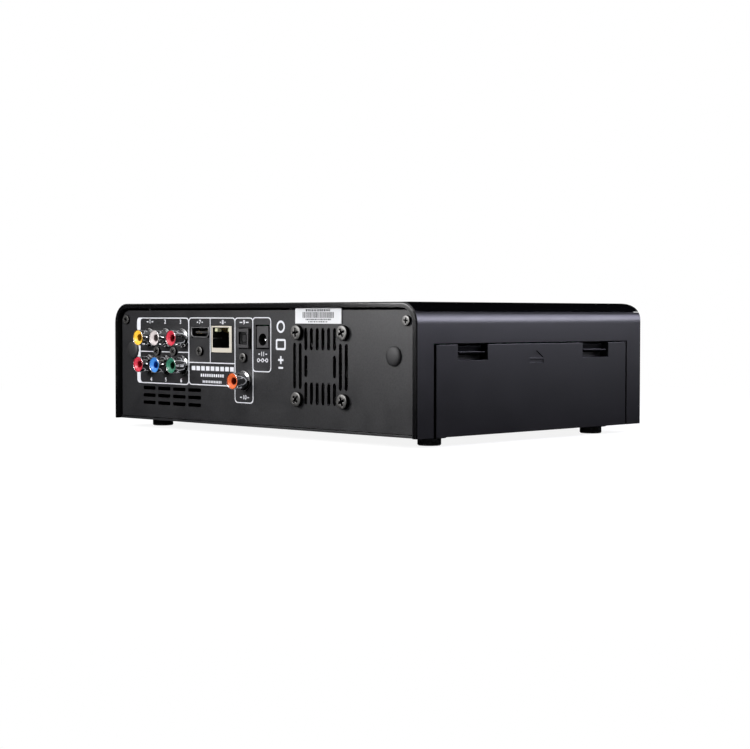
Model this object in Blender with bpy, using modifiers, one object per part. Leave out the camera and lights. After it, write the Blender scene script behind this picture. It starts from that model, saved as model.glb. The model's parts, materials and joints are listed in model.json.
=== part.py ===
"""Media player with a slide-out hard drive tray, its parts placed on the axes that they move on.

Metres, +Z up. The origin is on the floor under the middle of the whole player. The front faces -Y,
the sockets and the fan are in the rear panel at +Y, and the drive tray leaves through the -X side.
Inside the case every place is given from the case's middle in X and Y and from its lower edge in Z.
"""

import math

import bmesh
import bpy
from mathutils import Matrix

# Clearances
GAP = 0.0003
OVERRUN = 0.001

# Case
CASE_WIDTH = 0.2265
CASE_DEPTH = 0.165
CASE_HEIGHT = 0.0613
CASE_WALL = 0.0025
CASE_FILLET = 0.010
CASE_FRONT_FILLET = 0.0035
CASE_CORNER = 0.0010
COVER_THICKNESS = 0.0012
COVER_DROP = 0.0045
COVER_LIP = 0.0012
PLATE_THICKNESS = 0.0012
FOOT_HEIGHT = 0.0045

# Front
FASCIA_THICKNESS = 0.0025
FASCIA_RETURN = 0.0035
FASCIA_TOP_SHARE = 0.78

# Rear panel
PANEL_THICKNESS = 0.001
PANEL_RECESS = 0.0025
PANEL_CLEARANCE = 0.0012

# Sockets and fan, as seen from behind
RCA_PITCH = 0.014
RCA_COLLAR_RADIUS = 0.005
RCA_BARREL_RADIUS = 0.00415
RCA_REACH = 0.008
HDMI_WIDTH = 0.014
HDMI_HEIGHT = 0.0054
LAN_WIDTH = 0.016
LAN_HEIGHT = 0.0134
OPTICAL_WIDTH = 0.0083
OPTICAL_HEIGHT = 0.0095
OPTICAL_REACH = 0.0016
OPTICAL_MARGIN = 0.0006
OPTICAL_SHIFT = 0.0006
DC_WIDTH = 0.0086
DC_HEIGHT = 0.0106
DC_MARGIN = 0.0007
FAN_SIZE = 0.040
FAN_DEPTH = 0.010
FAN_HOLE_INSET = 0.004

# Hard drive and its tray
DRIVE_LENGTH = 0.147
DRIVE_WIDTH = 0.1016
DRIVE_HEIGHT = 0.0261
TRAY_OPENING_WIDTH = 0.1412
TRAY_SIDE_CLEARANCE = 0.001
TRAY_REAR_CLEARANCE = 0.0018
TRAY_TOP_CLEARANCE = 0.0007
TRAY_TOP_SHARE = 0.682
TRAY_PANEL = 0.0025
CARRIER_SHEET = 0.0012

# Main board
BOARD_SHEET = 0.0016
BOARD_UNDERSIDE_SHARE = 0.8173

# Smoothness of round shapes
FILLET_STEPS = 7
ROUND_SIDES = 18
SMALL_SIDES = 12

# Places that several parts share
HALF_WIDTH = CASE_WIDTH / 2
HALF_DEPTH = CASE_DEPTH / 2
INNER_HALF_WIDTH = HALF_WIDTH - CASE_WALL
INNER_TOP = CASE_HEIGHT - CASE_WALL
INNER_FILLET = CASE_FILLET - CASE_WALL
PANEL_FACE = HALF_DEPTH - PANEL_RECESS
PANEL_BACK = PANEL_FACE - PANEL_THICKNESS
PANEL_BOTTOM = PLATE_THICKNESS + GAP
PANEL_HALF_WIDTH = INNER_HALF_WIDTH - PANEL_CLEARANCE
PANEL_TOP = INNER_TOP - PANEL_CLEARANCE
PANEL_FILLET = INNER_FILLET - PANEL_CLEARANCE
FASCIA_TOP = CASE_HEIGHT * FASCIA_TOP_SHARE
FASCIA_HALF_WIDTH = HALF_WIDTH - FASCIA_RETURN - GAP
FASCIA_BACK = -HALF_DEPTH + FASCIA_THICKNESS
BOARD_UNDERSIDE = CASE_HEIGHT * BOARD_UNDERSIDE_SHARE
BOARD_TOP = BOARD_UNDERSIDE + BOARD_SHEET
TRAY_TOP = CASE_HEIGHT * TRAY_TOP_SHARE
TRAY_HALF_WIDTH = TRAY_OPENING_WIDTH / 2 - TRAY_SIDE_CLEARANCE
TRAY_BACK = -HALF_WIDTH + TRAY_PANEL
SOCKET_OVERHANG = RCA_REACH - PANEL_RECESS

# Colour, roughness and metallic value of each finish
FINISHES = {
    "satin": ((0.030, 0.031, 0.037), 0.42, 0.0),
    "gloss": ((0.004, 0.004, 0.005), 0.06, 0.0),
    "painted": ((0.045, 0.047, 0.050), 0.5, 0.2),
    "rubber": ((0.010, 0.010, 0.010), 0.8, 0.0),
    "black": ((0.012, 0.012, 0.013), 0.45, 0.0),
    "chrome": ((0.75, 0.75, 0.76), 0.15, 1.0),
    "screw": ((0.10, 0.10, 0.11), 0.35, 0.9),
    "steel": ((0.60, 0.61, 0.62), 0.35, 1.0),
    "tin": ((0.72, 0.68, 0.60), 0.30, 1.0),
    "alloy": ((0.62, 0.63, 0.64), 0.45, 0.9),
    "board": ((0.015, 0.085, 0.040), 0.45, 0.0),
    "label": ((0.85, 0.86, 0.86), 0.5, 0.0),
    "smoke": ((0.035, 0.004, 0.006), 0.08, 0.0),
    "yellow": ((0.90, 0.62, 0.02), 0.4, 0.0),
    "white": ((0.85, 0.85, 0.83), 0.4, 0.0),
    "red": ((0.65, 0.02, 0.05), 0.4, 0.0),
    "blue": ((0.02, 0.16, 0.62), 0.4, 0.0),
    "green": ((0.02, 0.40, 0.16), 0.4, 0.0),
    "orange": ((0.88, 0.25, 0.03), 0.4, 0.0),
}

FACING_REAR = (-math.pi / 2, 0, 0)
UPRIGHT = (math.pi / 2, 0, 0)
SIDEWAYS = (math.pi / 2, 0, math.pi / 2)


def clear_scene():
    for obj in list(bpy.data.objects):
        bpy.data.objects.remove(obj, do_unlink=True)


def new_collection(name):
    collection = bpy.data.collections.new(name)
    bpy.context.scene.collection.children.link(collection)
    return collection


clear_scene()
PARTS = new_collection("media_player")
CUTTERS = new_collection("cutters")


def finish_material(name, finish):
    colour, roughness, metallic = FINISHES[finish]
    material = bpy.data.materials.new(name)
    material.use_nodes = True
    shader = material.node_tree.nodes["Principled BSDF"]
    shader.inputs["Base Color"].default_value = (*colour, 1)
    shader.inputs["Roughness"].default_value = roughness
    shader.inputs["Metallic"].default_value = metallic
    material.diffuse_color = (*colour, 1)
    return material


def empty(name, location, parent=None):
    obj = bpy.data.objects.new(name, None)
    PARTS.objects.link(obj)
    obj.parent = parent
    obj.location = location
    return obj


def part(name, mesh, finish, parent, location=(0, 0, 0), rotation=(0, 0, 0)):
    """A visible piece of the player."""
    obj = bpy.data.objects.new(name, mesh)
    PARTS.objects.link(obj)
    obj.parent = parent
    obj.location = location
    obj.rotation_euler = rotation
    if not mesh.materials:
        mesh.materials.append(finish_material(name, finish))
    return obj


def helper(name, mesh, parent, location=(0, 0, 0), rotation=(0, 0, 0)):
    """A shape that only cuts, trims or adds to a piece."""
    obj = bpy.data.objects.new(name, mesh)
    CUTTERS.objects.link(obj)
    obj.parent = parent
    obj.location = location
    obj.rotation_euler = rotation
    obj.hide_render = True
    obj.display_type = "WIRE"
    return obj


def combine(target, tool, operation):
    modifier = target.modifiers.new(tool.name, "BOOLEAN")
    modifier.operation = operation
    modifier.object = tool
    modifier.solver = "EXACT"


def cut(target, tool):
    combine(target, tool, "DIFFERENCE")


def join(target, tool):
    combine(target, tool, "UNION")


def trim(target, tool):
    combine(target, tool, "INTERSECT")


def finish_mesh(name, shape):
    mesh = bpy.data.meshes.new(name)
    shape.to_mesh(mesh)
    shape.free()
    return mesh


def add_box(shape, low, high):
    """A box from its lowest to its highest corner."""
    size = [b - a for a, b in zip(low, high)]
    middle = [(a + b) / 2 for a, b in zip(low, high)]
    matrix = Matrix.Translation(middle) @ Matrix.Diagonal((*size, 1))
    bmesh.ops.create_cube(shape, size=1, matrix=matrix)


def box(name, low, high):
    shape = bmesh.new()
    add_box(shape, low, high)
    return finish_mesh(name, shape)


def boxes(name, corners):
    shape = bmesh.new()
    for low, high in corners:
        add_box(shape, low, high)
    return finish_mesh(name, shape)


AXIS_TURNS = {
    "X": Matrix.Rotation(math.pi / 2, 4, "Y"),
    "Y": Matrix.Rotation(-math.pi / 2, 4, "X"),
    "Z": Matrix.Identity(4),
}


def rods(name, starts, axis, radius, length, sides=SMALL_SIDES):
    """Round rods of one size, each from its start along +X, +Y or +Z."""
    shape = bmesh.new()
    for start in starts:
        middle = Matrix.Translation(start) @ AXIS_TURNS[axis] @ Matrix.Translation((0, 0, length / 2))
        bmesh.ops.create_cone(
            shape, cap_ends=True, segments=sides, radius1=radius, radius2=radius, depth=length, matrix=middle
        )
    return finish_mesh(name, shape)


def arc(centre, radius, start, end, steps):
    """Points of an arc between two angles in degrees, both ends included."""
    points = []
    for step in range(steps + 1):
        angle = math.radians(start + (end - start) * step / steps)
        points.append((centre[0] + radius * math.cos(angle), centre[1] + radius * math.sin(angle)))
    return points


def circle(centre, radius, sides=ROUND_SIDES):
    return arc(centre, radius, 0, 360, sides)[:-1]


def rotated(x, y, quarters):
    """A point turned about the origin by a number of quarter turns."""
    for _ in range(quarters):
        x, y = -y, x
    return x, y


def rectangle(centre, width, height):
    x, y = centre
    right, top = x + width / 2, y + height / 2
    return [(right, top), (x - width / 2, top), (x - width / 2, y - height / 2), (right, y - height / 2)]


def blunt_slot(centre, length, height, corner):
    """A slot with its four corners cut off."""
    far, near = length / 2, length / 2 - corner
    top, inner = height / 2, height / 2 - corner
    points = [(far, -inner), (far, inner), (near, top), (-near, top)]
    points += [(-x, -z) for x, z in points]
    return [(centre[0] + x, centre[1] + z) for x, z in points]


def round_slot(centre, length, width, steps=3):
    """A slot with round ends, along X if its length is the larger, else upright."""
    x, y = centre
    half = abs(length - width) / 2
    if length > width:
        return arc((x + half, y), width / 2, -90, 90, steps) + arc((x - half, y), width / 2, 90, 270, steps)
    return arc((x, y + half), length / 2, 0, 180, steps) + arc((x, y - half), length / 2, 180, 360, steps)


def outline(name, loops, thickness):
    """A flat outline with its holes, as thick as asked, its middle at height zero."""
    curve = bpy.data.curves.new(name, "CURVE")
    curve.dimensions = "2D"
    curve.fill_mode = "BOTH"
    curve.extrude = thickness / 2
    for loop in loops:
        spline = curve.splines.new("POLY")
        spline.points.add(len(loop) - 1)
        for point, (x, y) in zip(spline.points, loop):
            point.co = (x, y, 0, 1)
        spline.use_cyclic_u = True
    drawn = bpy.data.objects.new(name, curve)
    CUTTERS.objects.link(drawn)
    graph = bpy.context.evaluated_depsgraph_get()
    mesh = bpy.data.meshes.new_from_object(drawn.evaluated_get(graph))
    bpy.data.objects.remove(drawn, do_unlink=True)
    shape = bmesh.new()
    shape.from_mesh(mesh)
    bmesh.ops.remove_doubles(shape, verts=shape.verts, dist=GAP / 100)
    bmesh.ops.recalc_face_normals(shape, faces=shape.faces)
    shape.to_mesh(mesh)
    shape.free()
    return mesh


def profile(name, points, closed=False):
    """An open or closed line of (radius, height) points, for turning about Z."""
    mesh = bpy.data.meshes.new(name)
    count = len(points)
    edges = [(i, i + 1) for i in range(count - 1)]
    if closed:
        edges.append((count - 1, 0))
    mesh.from_pydata([(radius, 0, height) for radius, height in points], edges, [])
    return mesh


def turn(obj, sides=ROUND_SIDES):
    """Turns a profile into a round piece."""
    screw = obj.modifiers.new("turned", "SCREW")
    screw.axis = "Z"
    screw.angle = 2 * math.pi
    screw.screw_offset = 0
    screw.steps = sides
    screw.render_steps = sides
    screw.use_merge_vertices = True
    screw.merge_threshold = GAP / 100
    screw.use_smooth_shade = True
    return obj


def turned_part(name, points, finish, parent, location, rotation=(0, 0, 0), closed=False, sides=ROUND_SIDES):
    obj = part(name, profile(name, points, closed), finish, parent, location, rotation)
    return turn(obj, sides)


# Rear row: what stands in the rear panel, from its +X edge, and the shares of the free width between
RCA_ROW_WIDTH = 2 * (RCA_PITCH + RCA_COLLAR_RADIUS + GAP)
REAR_WIDTHS = (RCA_ROW_WIDTH, HDMI_WIDTH, LAN_WIDTH, OPTICAL_WIDTH, DC_WIDTH, FAN_SIZE)
REAR_GAP_SHARES = (0.2046, 0.0256, 0.0214, 0.0561, 0.0582, 0.1913)


def rear_centres():
    free = 2 * PANEL_HALF_WIDTH - sum(REAR_WIDTHS)
    edge = PANEL_HALF_WIDTH
    centres = []
    for width, share in zip(REAR_WIDTHS, REAR_GAP_SHARES):
        centre = edge - free * share - width / 2
        centres.append(centre)
        edge = centre - width / 2
    return centres


RCA_X, HDMI_X, LAN_X, OPTICAL_X, DC_X, FAN_X = rear_centres()
NOSE_X = OPTICAL_X - OPTICAL_SHIFT
NOSE_FACE = PANEL_FACE + OPTICAL_REACH
RCA_TOP_SHARE = 0.708
RCA_TOP_Z = CASE_HEIGHT * RCA_TOP_SHARE
RCA_LOW_Z = RCA_TOP_Z - RCA_PITCH
RCA_MID_Z = (RCA_TOP_Z + RCA_LOW_Z) / 2
HDMI_DROP = 0.0009
HDMI_Z = BOARD_UNDERSIDE - HDMI_DROP - HDMI_HEIGHT / 2
LAN_Z = BOARD_UNDERSIDE - GAP - LAN_HEIGHT / 2
OPTICAL_DROP = 0.0016
OPTICAL_Z = BOARD_UNDERSIDE - OPTICAL_DROP - OPTICAL_HEIGHT / 2
COAX_DROP = 0.021
COAX_Z = OPTICAL_Z - COAX_DROP
DC_Z = BOARD_UNDERSIDE - GAP - DC_HEIGHT / 2
FAN_Z_SHARE = 0.504
FAN_Z = CASE_HEIGHT * FAN_Z_SHARE
SOCKET_SCREW_DROP = 0.0096
HDMI_SCREW = (HDMI_X, HDMI_Z - SOCKET_SCREW_DROP)
OPTICAL_SCREW = (OPTICAL_X, OPTICAL_Z - SOCKET_SCREW_DROP)
RCA_PLACES = [
    (RCA_X + column * RCA_PITCH, height) for height in (RCA_TOP_Z, RCA_LOW_Z) for column in (1, 0, -1)
]
RCA_SCREWS = [(RCA_X + side * RCA_PITCH / 2, RCA_MID_Z) for side in (1, -1)]
CORNER_SCREW_INSET_X = 0.00445
CORNER_SCREW_INSET_Z = 0.0048
CORNER_SCREW_X = PANEL_HALF_WIDTH - CORNER_SCREW_INSET_X
CORNER_SCREW_Z = PANEL_TOP - CORNER_SCREW_INSET_Z
RCA_BLOCK_MARGIN = 0.0065
RCA_BLOCK_SIDE = RCA_X + RCA_PITCH + RCA_BLOCK_MARGIN
PLUG_X_SHARE = 0.362
PLUG_SHIFT = 0.0013
PLUG_X = RCA_BLOCK_SIDE + (PANEL_HALF_WIDTH - RCA_BLOCK_SIDE) * PLUG_X_SHARE
PLUG_Z_SHARE = 0.5985
PLUG_Z = CASE_HEIGHT * PLUG_Z_SHARE
FAN_SCREWS = [
    (FAN_X + across * (FAN_SIZE / 2 - FAN_HOLE_INSET), FAN_Z + up * (FAN_SIZE / 2 - FAN_HOLE_INSET))
    for up in (1, -1)
    for across in (1, -1)
]

# Screws
SHANK_RADIUS = 0.0014
SHANK_LENGTH = 0.0075
CORNER_SHANK = 0.0065
SHORT_SHANK = 0.0025
SCREW_HOLE_RADIUS = SHANK_RADIUS + GAP
FAN_HEAD_RADIUS = 0.0036
FAN_HEAD_HEIGHT = 0.002
CORNER_HEAD_RADIUS = 0.0024
CORNER_HEAD_HEIGHT = 0.0010
SOCKET_HEAD_RADIUS = 0.0024
SOCKET_HEAD_HEIGHT = 0.0012

# Round plugs of the rear panel
PLUG_RADIUS = 0.0046
PLUG_DOME = 0.0013
PLUG_STEM_RADIUS = 0.0027
PLUG_STEM_LENGTH = 0.0025
PLUG_CROWN_SHARES = ((0.5, 0.88), (0.85, 0.5))

CASE = empty("case", (0, -SOCKET_OVERHANG / 2, FOOT_HEIGHT))
TRAY = empty("hdd_tray", (TRAY_BACK, 0, 0), CASE)


def case_form(name, make, inset, overrun):
    """The case's outer block, drawn in by an inset and run past the rear and lower edge by an overrun."""
    half = HALF_WIDTH - inset
    top = CASE_HEIGHT - inset
    front = -HALF_DEPTH + inset
    rear = HALF_DEPTH + overrun
    fillet = CASE_FILLET - inset
    across = [(half, -2 * OVERRUN)]
    across += arc((half - fillet, top - fillet), fillet, 0, 90, FILLET_STEPS)
    across += arc((fillet - half, top - fillet), fillet, 90, 180, FILLET_STEPS)
    across += [(-half, -2 * OVERRUN)]
    front_fillet = CASE_FRONT_FILLET - inset
    along = [(rear, -overrun), (rear, top + OVERRUN), (front + front_fillet, top + OVERRUN)]
    along += arc((front + front_fillet, top - front_fillet), front_fillet, 90, 180, FILLET_STEPS)
    along += [(front, -overrun)]
    form = make(name, outline(name, [across], CASE_DEPTH + 6 * OVERRUN))
    form.rotation_euler = UPRIGHT
    lengthwise = outline(name, [along], CASE_WIDTH + 6 * OVERRUN)
    trim(form, helper(name + "_length", lengthwise, CASE, rotation=SIDEWAYS))
    corner = CASE_CORNER - inset
    if corner > 0:
        plan = [(half + OVERRUN, rear + OVERRUN), (-half - OVERRUN, rear + OVERRUN)]
        plan += [(-half - OVERRUN, front + corner)]
        plan += arc((corner - half, front + corner), corner, 180, 270, FILLET_STEPS // 2)
        plan += [(corner - half, front - OVERRUN), (half - corner, front - OVERRUN)]
        plan += arc((half - corner, front + corner), corner, 270, 360, FILLET_STEPS // 2)
        plan += [(half + OVERRUN, front + corner)]
        trim(form, helper(name + "_plan", outline(name, [plan], 3 * CASE_HEIGHT), CASE))
    return form


def inner_form(name, inset):
    return case_form(name, lambda title, mesh: helper(title, mesh, CASE), inset, OVERRUN)


# Bosses inside the hood
BOSS_HALF = 0.003
BOSS_DEPTH = 0.009
STAKE_RADIUS = 0.003
STAKE_PIN_RADIUS = 0.0015
STAKE_PIN_LENGTH = 0.0035
BOARD_FAN_CLEARANCE = 0.003
BOARD_RIGHT_INSET = 0.0105
BOARD_FRONT_INSET = 0.0035
BOARD_REAR_INSET = 0.0015
STAKE_INSET = 0.006
BOARD_LEFT = FAN_X + FAN_SIZE / 2 + BOARD_FAN_CLEARANCE
BOARD_RIGHT = INNER_HALF_WIDTH - BOARD_RIGHT_INSET
BOARD_FRONT = FASCIA_BACK + BOARD_FRONT_INSET
BOARD_REAR = PANEL_BACK - BOARD_REAR_INSET
STAKES = [
    (x, y)
    for x in (BOARD_LEFT + STAKE_INSET, BOARD_RIGHT - STAKE_INSET)
    for y in (BOARD_FRONT + STAKE_INSET, BOARD_REAR - STAKE_INSET)
]

# Two USB sockets, one above the other, in the side opposite the tray
USB_WIDTH = 0.0144
USB_HEIGHT = 0.0156
USB_DEPTH = 0.0165
USB_Y_SHARE = -0.28
USB_Y = CASE_DEPTH * USB_Y_SHARE
USB_TOP = BOARD_UNDERSIDE - GAP
USB_PORT_WIDTH = 0.0122
USB_PORT_HEIGHT = 0.005
USB_PORT_DEPTH = 0.012
USB_TONGUE_HEIGHT = 0.0018
USB_TONGUE_WIDTH = 0.0110
USB_PORT_SHARES = (0.27, 0.73)


def make_hood():
    hood = case_form("hood", lambda name, mesh: part(name, mesh, "satin", CASE), 0, 0)
    cut(hood, inner_form("hood_inside", CASE_WALL))
    ledge = CASE_HEIGHT - COVER_DROP
    reach = HALF_WIDTH + 2 * OVERRUN
    above = box(
        "cover_seat",
        (-reach, -HALF_DEPTH - 2 * OVERRUN, ledge),
        (reach, HALF_DEPTH - COVER_LIP, CASE_HEIGHT + 2 * OVERRUN),
    )
    seat = helper("cover_seat", above, CASE)
    cut(seat, inner_form("cover_seat_core", COVER_THICKNESS + GAP))
    cut(hood, seat)
    opening = box(
        "tray_opening",
        (-HALF_WIDTH - OVERRUN, -TRAY_OPENING_WIDTH / 2, -OVERRUN),
        (-INNER_HALF_WIDTH + OVERRUN, TRAY_HALF_WIDTH + TRAY_REAR_CLEARANCE, TRAY_TOP + TRAY_TOP_CLEARANCE),
    )
    cut(hood, helper("tray_opening", opening, CASE))
    window_half = HALF_WIDTH - FASCIA_RETURN
    window = box(
        "fascia_opening",
        (-window_half, -HALF_DEPTH - OVERRUN, -OVERRUN),
        (window_half, -HALF_DEPTH + CASE_WALL + OVERRUN, FASCIA_TOP + GAP),
    )
    cut(hood, helper("fascia_opening", window, CASE))
    usb = box(
        "usb_opening",
        (INNER_HALF_WIDTH - OVERRUN, USB_Y - USB_WIDTH / 2 - GAP, USB_TOP - USB_HEIGHT - GAP),
        (HALF_WIDTH + OVERRUN, USB_Y + USB_WIDTH / 2 + GAP, USB_TOP + GAP),
    )
    cut(hood, helper("usb_opening", usb, CASE))
    boss_near = CORNER_SCREW_X - BOSS_HALF
    boss_far = INNER_HALF_WIDTH + GAP
    bosses = boxes(
        "corner_bosses",
        [
            (
                (low_x, PANEL_BACK - GAP - BOSS_DEPTH, CORNER_SCREW_Z - BOSS_HALF),
                (high_x, PANEL_BACK - GAP, CORNER_SCREW_Z + BOSS_HALF),
            )
            for low_x, high_x in ((-boss_far, -boss_near), (boss_near, boss_far))
        ],
    )
    join(hood, helper("corner_bosses", bosses, CASE))
    stake_base = BOARD_TOP + GAP
    post_starts = [(x, y, stake_base) for x, y in STAKES]
    posts = rods("board_posts", post_starts, "Z", STAKE_RADIUS, INNER_TOP + GAP - stake_base)
    join(hood, helper("board_posts", posts, CASE))
    pins = rods(
        "board_pins",
        [(x, y, stake_base - STAKE_PIN_LENGTH) for x, y in STAKES],
        "Z",
        STAKE_PIN_RADIUS,
        STAKE_PIN_LENGTH + GAP,
    )
    join(hood, helper("board_pins", pins, CASE))
    pilots = rods(
        "corner_pilots",
        [(side * CORNER_SCREW_X, PANEL_BACK - GAP - SHANK_LENGTH, CORNER_SCREW_Z) for side in (-1, 1)],
        "Y",
        SCREW_HOLE_RADIUS,
        SHANK_LENGTH + OVERRUN,
    )
    cut(hood, helper("corner_pilots", pilots, CASE))


def make_top_cover():
    cover = case_form("top_cover", lambda name, mesh: part(name, mesh, "gloss", CASE), 0, 0)
    reach = HALF_WIDTH + 2 * OVERRUN
    above = box(
        "cover_part",
        (-reach, -HALF_DEPTH - 2 * OVERRUN, CASE_HEIGHT - COVER_DROP + GAP),
        (reach, HALF_DEPTH - COVER_LIP - GAP, CASE_HEIGHT + 2 * OVERRUN),
    )
    trim(cover, helper("cover_part", above, CASE))
    cut(cover, inner_form("cover_inside", COVER_THICKNESS))


# Feet
FOOT_RADIUS = 0.0055
FOOT_FLANGE_RADIUS = 0.008
FOOT_FLANGE = 0.001
FOOT_STEM_RADIUS = 0.002
FOOT_STEM_LENGTH = 0.0022
FOOT_INSET_TRAY = 0.01415
FOOT_INSET_SIDE = 0.01225
FOOT_INSET_Y = 0.0231
FOOT_PLACES = [
    (x, end * (HALF_DEPTH - FOOT_INSET_Y))
    for x in (FOOT_INSET_TRAY - HALF_WIDTH, HALF_WIDTH - FOOT_INSET_SIDE)
    for end in (-1, 1)
]
FOOT_NAMES = ("foot_tray_front", "foot_tray_rear", "foot_side_front", "foot_side_rear")


def make_base():
    half = INNER_HALF_WIDTH - GAP
    plate = part(
        "base_plate",
        box("base_plate", (-half, FASCIA_BACK + GAP, 0), (half, PANEL_FACE, PLATE_THICKNESS)),
        "painted",
        CASE,
    )
    holes = rods(
        "foot_holes",
        [(x, y, -OVERRUN) for x, y in FOOT_PLACES],
        "Z",
        FOOT_STEM_RADIUS + GAP,
        PLATE_THICKNESS + 2 * OVERRUN,
    )
    cut(plate, helper("foot_holes", holes, CASE))
    points = [
        (0, FOOT_STEM_LENGTH),
        (FOOT_STEM_RADIUS, FOOT_STEM_LENGTH),
        (FOOT_STEM_RADIUS, -GAP),
        (FOOT_FLANGE_RADIUS, -GAP),
        (FOOT_FLANGE_RADIUS, -FOOT_FLANGE),
        (FOOT_RADIUS, -FOOT_FLANGE),
        (FOOT_RADIUS, -FOOT_HEIGHT),
        (0, -FOOT_HEIGHT),
    ]
    for name, (x, y) in zip(FOOT_NAMES, FOOT_PLACES):
        turned_part(name, points, "rubber", CASE, (x, y, 0))


# Slots of the fan grille, as shares of the fan's size
GRILLE_PITCH_SHARE = 0.1
GRILLE_SLOT_SHARE = 0.054
GRILLE_SHIFT = 0.0007
GRILLE_ROW_SHARES = (0.1888, 0.4588)
GRILLE_MID_SHARE = 0.265
GRILLE_OUTER_SHARE = 0.5525

# Short vent slots under the RCA sockets
VENT_COLUMNS = 4
VENT_ROWS = 3
VENT_PITCH_X = 0.0127
VENT_PITCH_SHARE = 0.1310
VENT_LENGTH = 0.0104
VENT_HEIGHT = 0.0019
VENT_CORNER = 0.0004
VENT_RISE_SHARE = 0.3095
VENT_SHIFT = 0.0045


def grille_slots():
    pitch = FAN_SIZE * GRILLE_PITCH_SHARE
    width = FAN_SIZE * GRILLE_SLOT_SHARE
    inner, outer = (FAN_SIZE * share for share in GRILLE_ROW_SHARES)
    middle, length = (inner + outer) / 2, outer - inner
    centre = FAN_X + GRILLE_SHIFT
    slots = []
    for column in (-2.5, -1.5, -0.5, 0.5, 1.5, 2.5):
        for up in (-1, 1):
            slots.append(round_slot((centre + column * pitch, FAN_Z + up * middle), width, length))
    for side in (-1, 1):
        slots.append(round_slot((centre + side * 2.5 * pitch, FAN_Z), width, FAN_SIZE * GRILLE_MID_SHARE))
        for column in (3.5, 4.5):
            place = (centre + side * column * pitch, FAN_Z)
            slots.append(round_slot(place, width, FAN_SIZE * GRILLE_OUTER_SHARE))
    return slots


def vent_slots():
    first_x = RCA_X - VENT_SHIFT - (VENT_COLUMNS - 1) * VENT_PITCH_X / 2
    places = [
        (first_x + column * VENT_PITCH_X, RCA_LOW_Z * (VENT_RISE_SHARE + row * VENT_PITCH_SHARE))
        for column in range(VENT_COLUMNS)
        for row in range(VENT_ROWS)
    ]
    return [blunt_slot(place, VENT_LENGTH, VENT_HEIGHT, VENT_CORNER) for place in places]


def make_rear_panel():
    edge = [(PANEL_HALF_WIDTH, PANEL_BOTTOM)]
    corner_x, corner_z = PANEL_HALF_WIDTH - PANEL_FILLET, PANEL_TOP - PANEL_FILLET
    edge += arc((corner_x, corner_z), PANEL_FILLET, 0, 90, FILLET_STEPS)
    edge += arc((-corner_x, corner_z), PANEL_FILLET, 90, 180, FILLET_STEPS)
    edge += [(-PANEL_HALF_WIDTH, PANEL_BOTTOM)]
    loops = [edge]
    for place in RCA_PLACES + [(OPTICAL_X, COAX_Z)]:
        loops.append(circle(place, RCA_COLLAR_RADIUS + GAP))
    for place, width, height, margin in (
        ((HDMI_X, HDMI_Z), HDMI_WIDTH, HDMI_HEIGHT, GAP),
        ((LAN_X, LAN_Z), LAN_WIDTH, LAN_HEIGHT, GAP),
        ((NOSE_X, OPTICAL_Z), OPTICAL_WIDTH, OPTICAL_HEIGHT, OPTICAL_MARGIN),
        ((DC_X, DC_Z), DC_WIDTH, DC_HEIGHT, DC_MARGIN),
    ):
        loops.append(rectangle(place, width + 2 * margin, height + 2 * margin))
    corner_screws = [(side * CORNER_SCREW_X, CORNER_SCREW_Z) for side in (-1, 1)]
    for place in RCA_SCREWS + [HDMI_SCREW, OPTICAL_SCREW] + FAN_SCREWS + corner_screws:
        loops.append(circle(place, SCREW_HOLE_RADIUS, SMALL_SIDES))
    for side in (-1, 1):
        loops.append(circle((side * PLUG_X + PLUG_SHIFT, PLUG_Z), PLUG_STEM_RADIUS + GAP, SMALL_SIDES))
    loops += grille_slots() + vent_slots()
    mesh = outline("rear_panel", loops, PANEL_THICKNESS)
    part("rear_panel", mesh, "painted", CASE, (0, PANEL_FACE - PANEL_THICKNESS / 2, 0), UPRIGHT)


# Crown and cross recess of a screw head, as shares of the head
SCREW_CROWN_SHARES = ((0.55, 0.92), (0.88, 0.6), (1, 0.2))
CROSS_REACH_SHARE = 0.62
CROSS_WIDTH_SHARE = 0.2
CROSS_DEPTH_SHARE = 0.55
CROSS_TAPER_SHARE = 0.75


def screw(name, place, head_radius, head_height, shank_length):
    """A pan-head cross screw through the rear panel, head to the rear."""
    x, z = place
    location = (x, PANEL_FACE + GAP, z)
    points = [(0, head_height)]
    points += [(head_radius * across, head_height * up) for across, up in SCREW_CROWN_SHARES]
    points += [(head_radius, 0), (SHANK_RADIUS, 0), (SHANK_RADIUS, -shank_length), (0, -shank_length)]
    obj = turned_part(name, points, "screw", CASE, location, FACING_REAR, sides=SMALL_SIDES)
    reach = head_radius * CROSS_REACH_SHARE
    root = head_radius * CROSS_WIDTH_SHARE / 2
    tip = root * CROSS_TAPER_SHARE
    cross = []
    for quarter in range(4):
        cross += [rotated(x, y, quarter) for x, y in ((reach, -tip), (reach, tip), (root, root))]
    depth = head_height * CROSS_DEPTH_SHARE
    tool = helper(name + "_cross", outline(name + "_cross", [cross], 2 * depth), obj, (0, 0, head_height))
    cut(obj, tool)


def make_screws():
    for name, place in zip(("upper_outer", "upper_inner", "lower_outer", "lower_inner"), FAN_SCREWS):
        screw("fan_screw_" + name, place, FAN_HEAD_RADIUS, FAN_HEAD_HEIGHT, SHANK_LENGTH)
    for name, side in (("tray_side", -1), ("socket_side", 1)):
        place = (side * CORNER_SCREW_X, CORNER_SCREW_Z)
        screw("corner_screw_" + name, place, CORNER_HEAD_RADIUS, CORNER_HEAD_HEIGHT, CORNER_SHANK)
    for name, place, length in (
        ("rca_outer", RCA_SCREWS[0], SHANK_LENGTH),
        ("rca_inner", RCA_SCREWS[1], SHANK_LENGTH),
        ("hdmi", HDMI_SCREW, SHORT_SHANK),
        ("optical", OPTICAL_SCREW, SHANK_LENGTH),
    ):
        screw("socket_screw_" + name, place, SOCKET_HEAD_RADIUS, SOCKET_HEAD_HEIGHT, length)


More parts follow.
